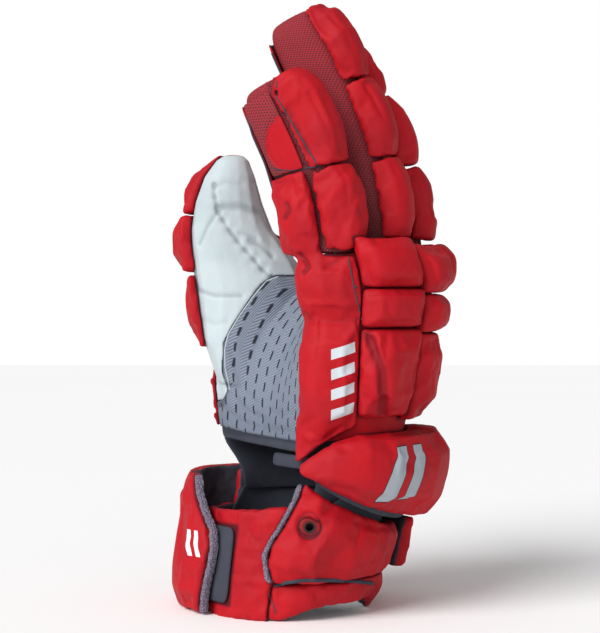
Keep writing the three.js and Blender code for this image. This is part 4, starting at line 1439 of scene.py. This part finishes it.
@dataclass
class Cuff:
    """Wrist roll, liner and the wrap-around cuff with its flap."""

    foam: Foam
    skin: Skin
    roll_bars: Bars = Bars(centre=(414, 471), size=(33 * MM, 28 * MM), count=2, slant=0.42, share=0.58,
                           ink=linear(160, 168, 176), outline=0.5 * MM)
    flap_bars: Bars = Bars(centre=(186, 543), size=(13 * MM, 13 * MM), count=2, slant=-0.5, share=0.5,
                           ink=linear(222, 226, 228))
    liner_ease: Ease = Ease(centre=(-43 * MM, 0.0, 95 * MM), reach=(17 * MM, 70 * MM, 15 * MM),
                            pull=(-7 * MM, 0.0, 0.0))
    eyelet_centre: tuple[float, float] = (309, 526.5)
    eyelet_reach: tuple[float, float] = (11.5, 13.5)
    # Radii over which the painted shade in the eyelet's hole fades out.
    eyelet_hole: tuple[float, float] = (3.0 * MM, 3.4 * MM)
    band_seam: tuple[tuple[float, float], ...] = ((268, 594), (273, 606), (276, 615))

    def build(self) -> None:
        """Builds every piece of the cuff."""
        self.skin.stretch(Piece("wrist_liner", Finish.DARK_CLOTH, eases=(self.liner_ease,)))
        for node in ("cuff_lining", "guard_lining", "closure_strip"):
            self.skin.stretch(Piece(node, Finish.DARK_CLOTH))
        band_seam = Crease(self.band_seam, depth=0.7 * MM, width=1.2 * MM)
        slot_line = ((272, 587), (285, 583), (305, 580), (335, 580), (365, 582), (373, 584))
        slot = Crease(slot_line, depth=1.2 * MM, width=1.8 * MM)
        dent_line = ((250, 532), (252, 538), (257, 541))
        dent = Crease(dent_line, depth=0.6 * MM, width=1.2 * MM)
        self.foam.lay(Piece("cuff_palm_panel", Finish.RED_CLOTH, (dent, band_seam)), fill=0.6)
        self.foam.lay(Piece("cuff_band", Finish.RED_CLOTH, (band_seam, slot)), fill=0.6)
        self.foam.lay(Piece("cuff_side_panel", Finish.RED_CLOTH, (self._eyelet_ring(),)), fill=0.6)
        self.foam.lay(Piece("cuff_far_panel", Finish.RED_CLOTH), fill=0.6)
        flap = RedCloth().make("red nylon with flap bars", self.flap_bars)
        self.foam.lay(Piece("closure_flap", Finish.RED_CLOTH, material=flap, print_at=self.flap_bars.centre),
                      fill=0.6)
        roll = RedCloth().make("red nylon with wrist bars", self.roll_bars)
        self.foam.lay(Piece("wrist_guard", Finish.RED_CLOTH, material=roll, print_at=self.roll_bars.centre),
                      fill=0.9)
        for node in ("side_panel_binding", "flap_binding"):
            self.skin.fluff(Piece(node, Finish.TERRY))
        self._eyelet()

    def _eyelet_ring(self) -> Crease:
        """Pressed ring round the eyelet."""
        (u, v), (wide, high) = self.eyelet_centre, self.eyelet_reach
        turns = [math.radians(30 * k) for k in range(13)]
        ring = tuple((u + wide * math.cos(turn), v + high * math.sin(turn)) for turn in turns)
        return Crease(ring, depth=0.9 * MM, width=1.0 * MM)

    def _eyelet(self) -> None:
        """Rounds the eyelet's rim and paints its hole near black as painted shade."""
        room = self.skin.room
        piece = room.cut_out(("vent_eyelet",), "vent_eyelet_rim")
        apply_modifier(piece, "BEVEL", width=0.5 * MM, segments=3, limit_method="ANGLE")
        spec = Piece("vent_eyelet", Finish.EYELET_RIM)
        room.wrap(piece, spec)
        points = points_of(piece)
        low, high = (np.array(corner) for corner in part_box("vent_eyelet"))
        away = np.linalg.norm((points - (low + high) / 2)[:, [0, 2]], axis=1)
        # Painted shade: near black inside the hole, fading out at its edge.
        room.keep(piece, "lining", 1 - smooth_step(away, *self.eyelet_hole))
        room.dress(piece, spec)

    def line(self) -> None:
        """Marks the inner faces of the cuff's pieces as lining, once they are puffed."""
        for name in ("cuff_far_panel", "closure_flap", "wrist_guard", "cuff_side_panel", "cuff_palm_panel",
                     "cuff_band"):
            self.skin.room.line_inside(self.skin.room.made[f"{name}_cover"])

    def trim(self, thread: Thread) -> None:
        """Lays the dark slot between the band and the side panel, and the band's seam.

        Args:
            thread: How thread is laid.
        """
        on = ("cuff_band_cover", "cuff_side_panel_cover", "cuff_palm_panel_cover")
        slot = ((275, 587), (285, 583.5), (305, 581), (335, 581), (365, 583), (373, 584))
        thread.lay(Trim("band_slot", slot, on, 1.1 * MM))
        thread.lay(Trim("band_seam", self.band_seam, on, 0.3 * MM))


@dataclass
class Studio:
    """Camera, floor and soft lights."""

    floor_size: float = 6.0
    sensor: float = 24.0
    sky: float = 0.4
    backdrop: float = 1.0
    key: float = 3.0
    key_angle: float = 38.0
    key_place: tuple[float, float, float] = (-0.9, -1.0, 1.15)
    fill: float = 4.0
    fill_place: tuple[float, float, float] = (-0.1, -1.4, 0.2)
    fill_size: tuple[float, float] = (1.4, 1.0)
    lit_point: tuple[float, float, float] = (0.0, 0.0, 0.16)

    def build(self) -> None:
        """Builds the stage around the glove."""
        self._camera()
        self._floor()
        self._key()
        self._fill()
        self._sky()
        bpy.context.scene.view_settings.view_transform = "Standard"

    def _sky(self) -> None:
        """Surrounds the stage with even light, in front of a white backdrop."""
        world = bpy.data.worlds.new("studio")
        world.use_nodes = True
        nodes, links = world.node_tree.nodes, world.node_tree.links
        even = nodes["Background"]
        even.inputs["Color"].default_value = (1, 1, 1, 1)
        even.inputs["Strength"].default_value = self.sky
        white = nodes.new("ShaderNodeBackground")
        white.inputs["Color"].default_value = (1, 1, 1, 1)
        white.inputs["Strength"].default_value = self.backdrop
        both = nodes.new("ShaderNodeMixShader")
        links.new(nodes.new("ShaderNodeLightPath").outputs["Is Camera Ray"], both.inputs[0])
        links.new(even.outputs[0], both.inputs[1])
        links.new(white.outputs[0], both.inputs[2])
        links.new(both.outputs[0], nodes["World Output"].inputs["Surface"])
        bpy.context.scene.world = world

    def _camera(self) -> None:
        """Sets the camera where the photograph was taken from."""
        data = bpy.data.cameras.new("camera")
        data.sensor_fit = "VERTICAL"
        data.sensor_height = self.sensor
        data.lens = VIEW_DISTANCE / PIXEL * self.sensor / PHOTO_HEIGHT
        camera = bpy.data.objects.new("camera", data)
        bpy.context.scene.collection.objects.link(camera)
        camera.location = (VIEW_X, VIEW_PLANE_Y - VIEW_DISTANCE, VIEW_HEIGHT)
        aim_x, aim_z = seen_at(PHOTO_WIDTH / 2, PHOTO_HEIGHT / 2)
        aim = Vector((aim_x, VIEW_PLANE_Y, aim_z)) - camera.location
        camera.rotation_euler = aim.to_track_quat("-Z", "Y").to_euler()
        bpy.context.scene.camera = camera

    def _floor(self) -> None:
        """Lays a pale floor."""
        nothing_selected()
        bpy.ops.mesh.primitive_plane_add(size=self.floor_size, location=(0, 0, 0))
        floor = bpy.context.active_object
        floor.name = "studio_floor"
        g = Graph("studio paper")
        paper = g.mix(g.noise(2.0, 2, 0.5), linear(252, 252, 252), linear(254, 254, 254))
        floor.data.materials.append(g.finish(Base_Color=paper, Roughness=0.95, Specular_IOR_Level=0.1))

    def _key(self) -> None:
        """Hangs the broad key light, even over the whole floor."""
        data = bpy.data.lights.new("key light", "SUN")
        data.energy = self.key
        data.angle = math.radians(self.key_angle)
        self._hang(data, self.key_place)

    def _fill(self) -> None:
        """Hangs the soft fill light."""
        data = bpy.data.lights.new("fill light", "AREA")
        data.shape = "RECTANGLE"
        data.size, data.size_y = self.fill_size
        data.energy = self.fill
        self._hang(data, self.fill_place)

    def _hang(self, data: bpy.types.Light, place: tuple[float, float, float]) -> None:
        """Places a light and points it at the glove."""
        light = bpy.data.objects.new(data.name, data)
        bpy.context.scene.collection.objects.link(light)
        light.location = place
        aim = Vector(self.lit_point) - Vector(place)
        light.rotation_euler = aim.to_track_quat("-Z", "Y").to_euler()


def make_finishes() -> dict[Finish, bpy.types.Material]:
    """Builds one material for each finish."""
    return {
        Finish.RED_CLOTH: RedCloth().make(),
        Finish.FINGER_MESH: FingerMesh().make(),
        Finish.WHITE_LEATHER: WhiteLeather().make(),
        Finish.PALM_MESH: PalmMesh().make(),
        Finish.DARK_CLOTH: DarkCloth().make(),
        Finish.TERRY: Terry().make(),
        Finish.EYELET_RIM: MouldedRim().make(),
    }


def main() -> None:
    """Builds the glove around the frame."""
    logging.basicConfig(level=logging.INFO, format="%(name)s %(message)s")
    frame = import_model()
    room = Workroom(frame["nodes"], make_finishes())
    foam = Foam(room)
    skin = Skin(room)
    fingers, hand, cuff = Fingers(foam, skin), Hand(foam, skin), Cuff(foam, skin)
    for part in (fingers, hand, cuff):
        part.build()
    foam.puff()
    cuff.line()
    thread = Thread(room)
    for part in (fingers, hand, cuff):
        part.trim(thread)
    Studio().build()


if __name__ == "__main__":
    main()
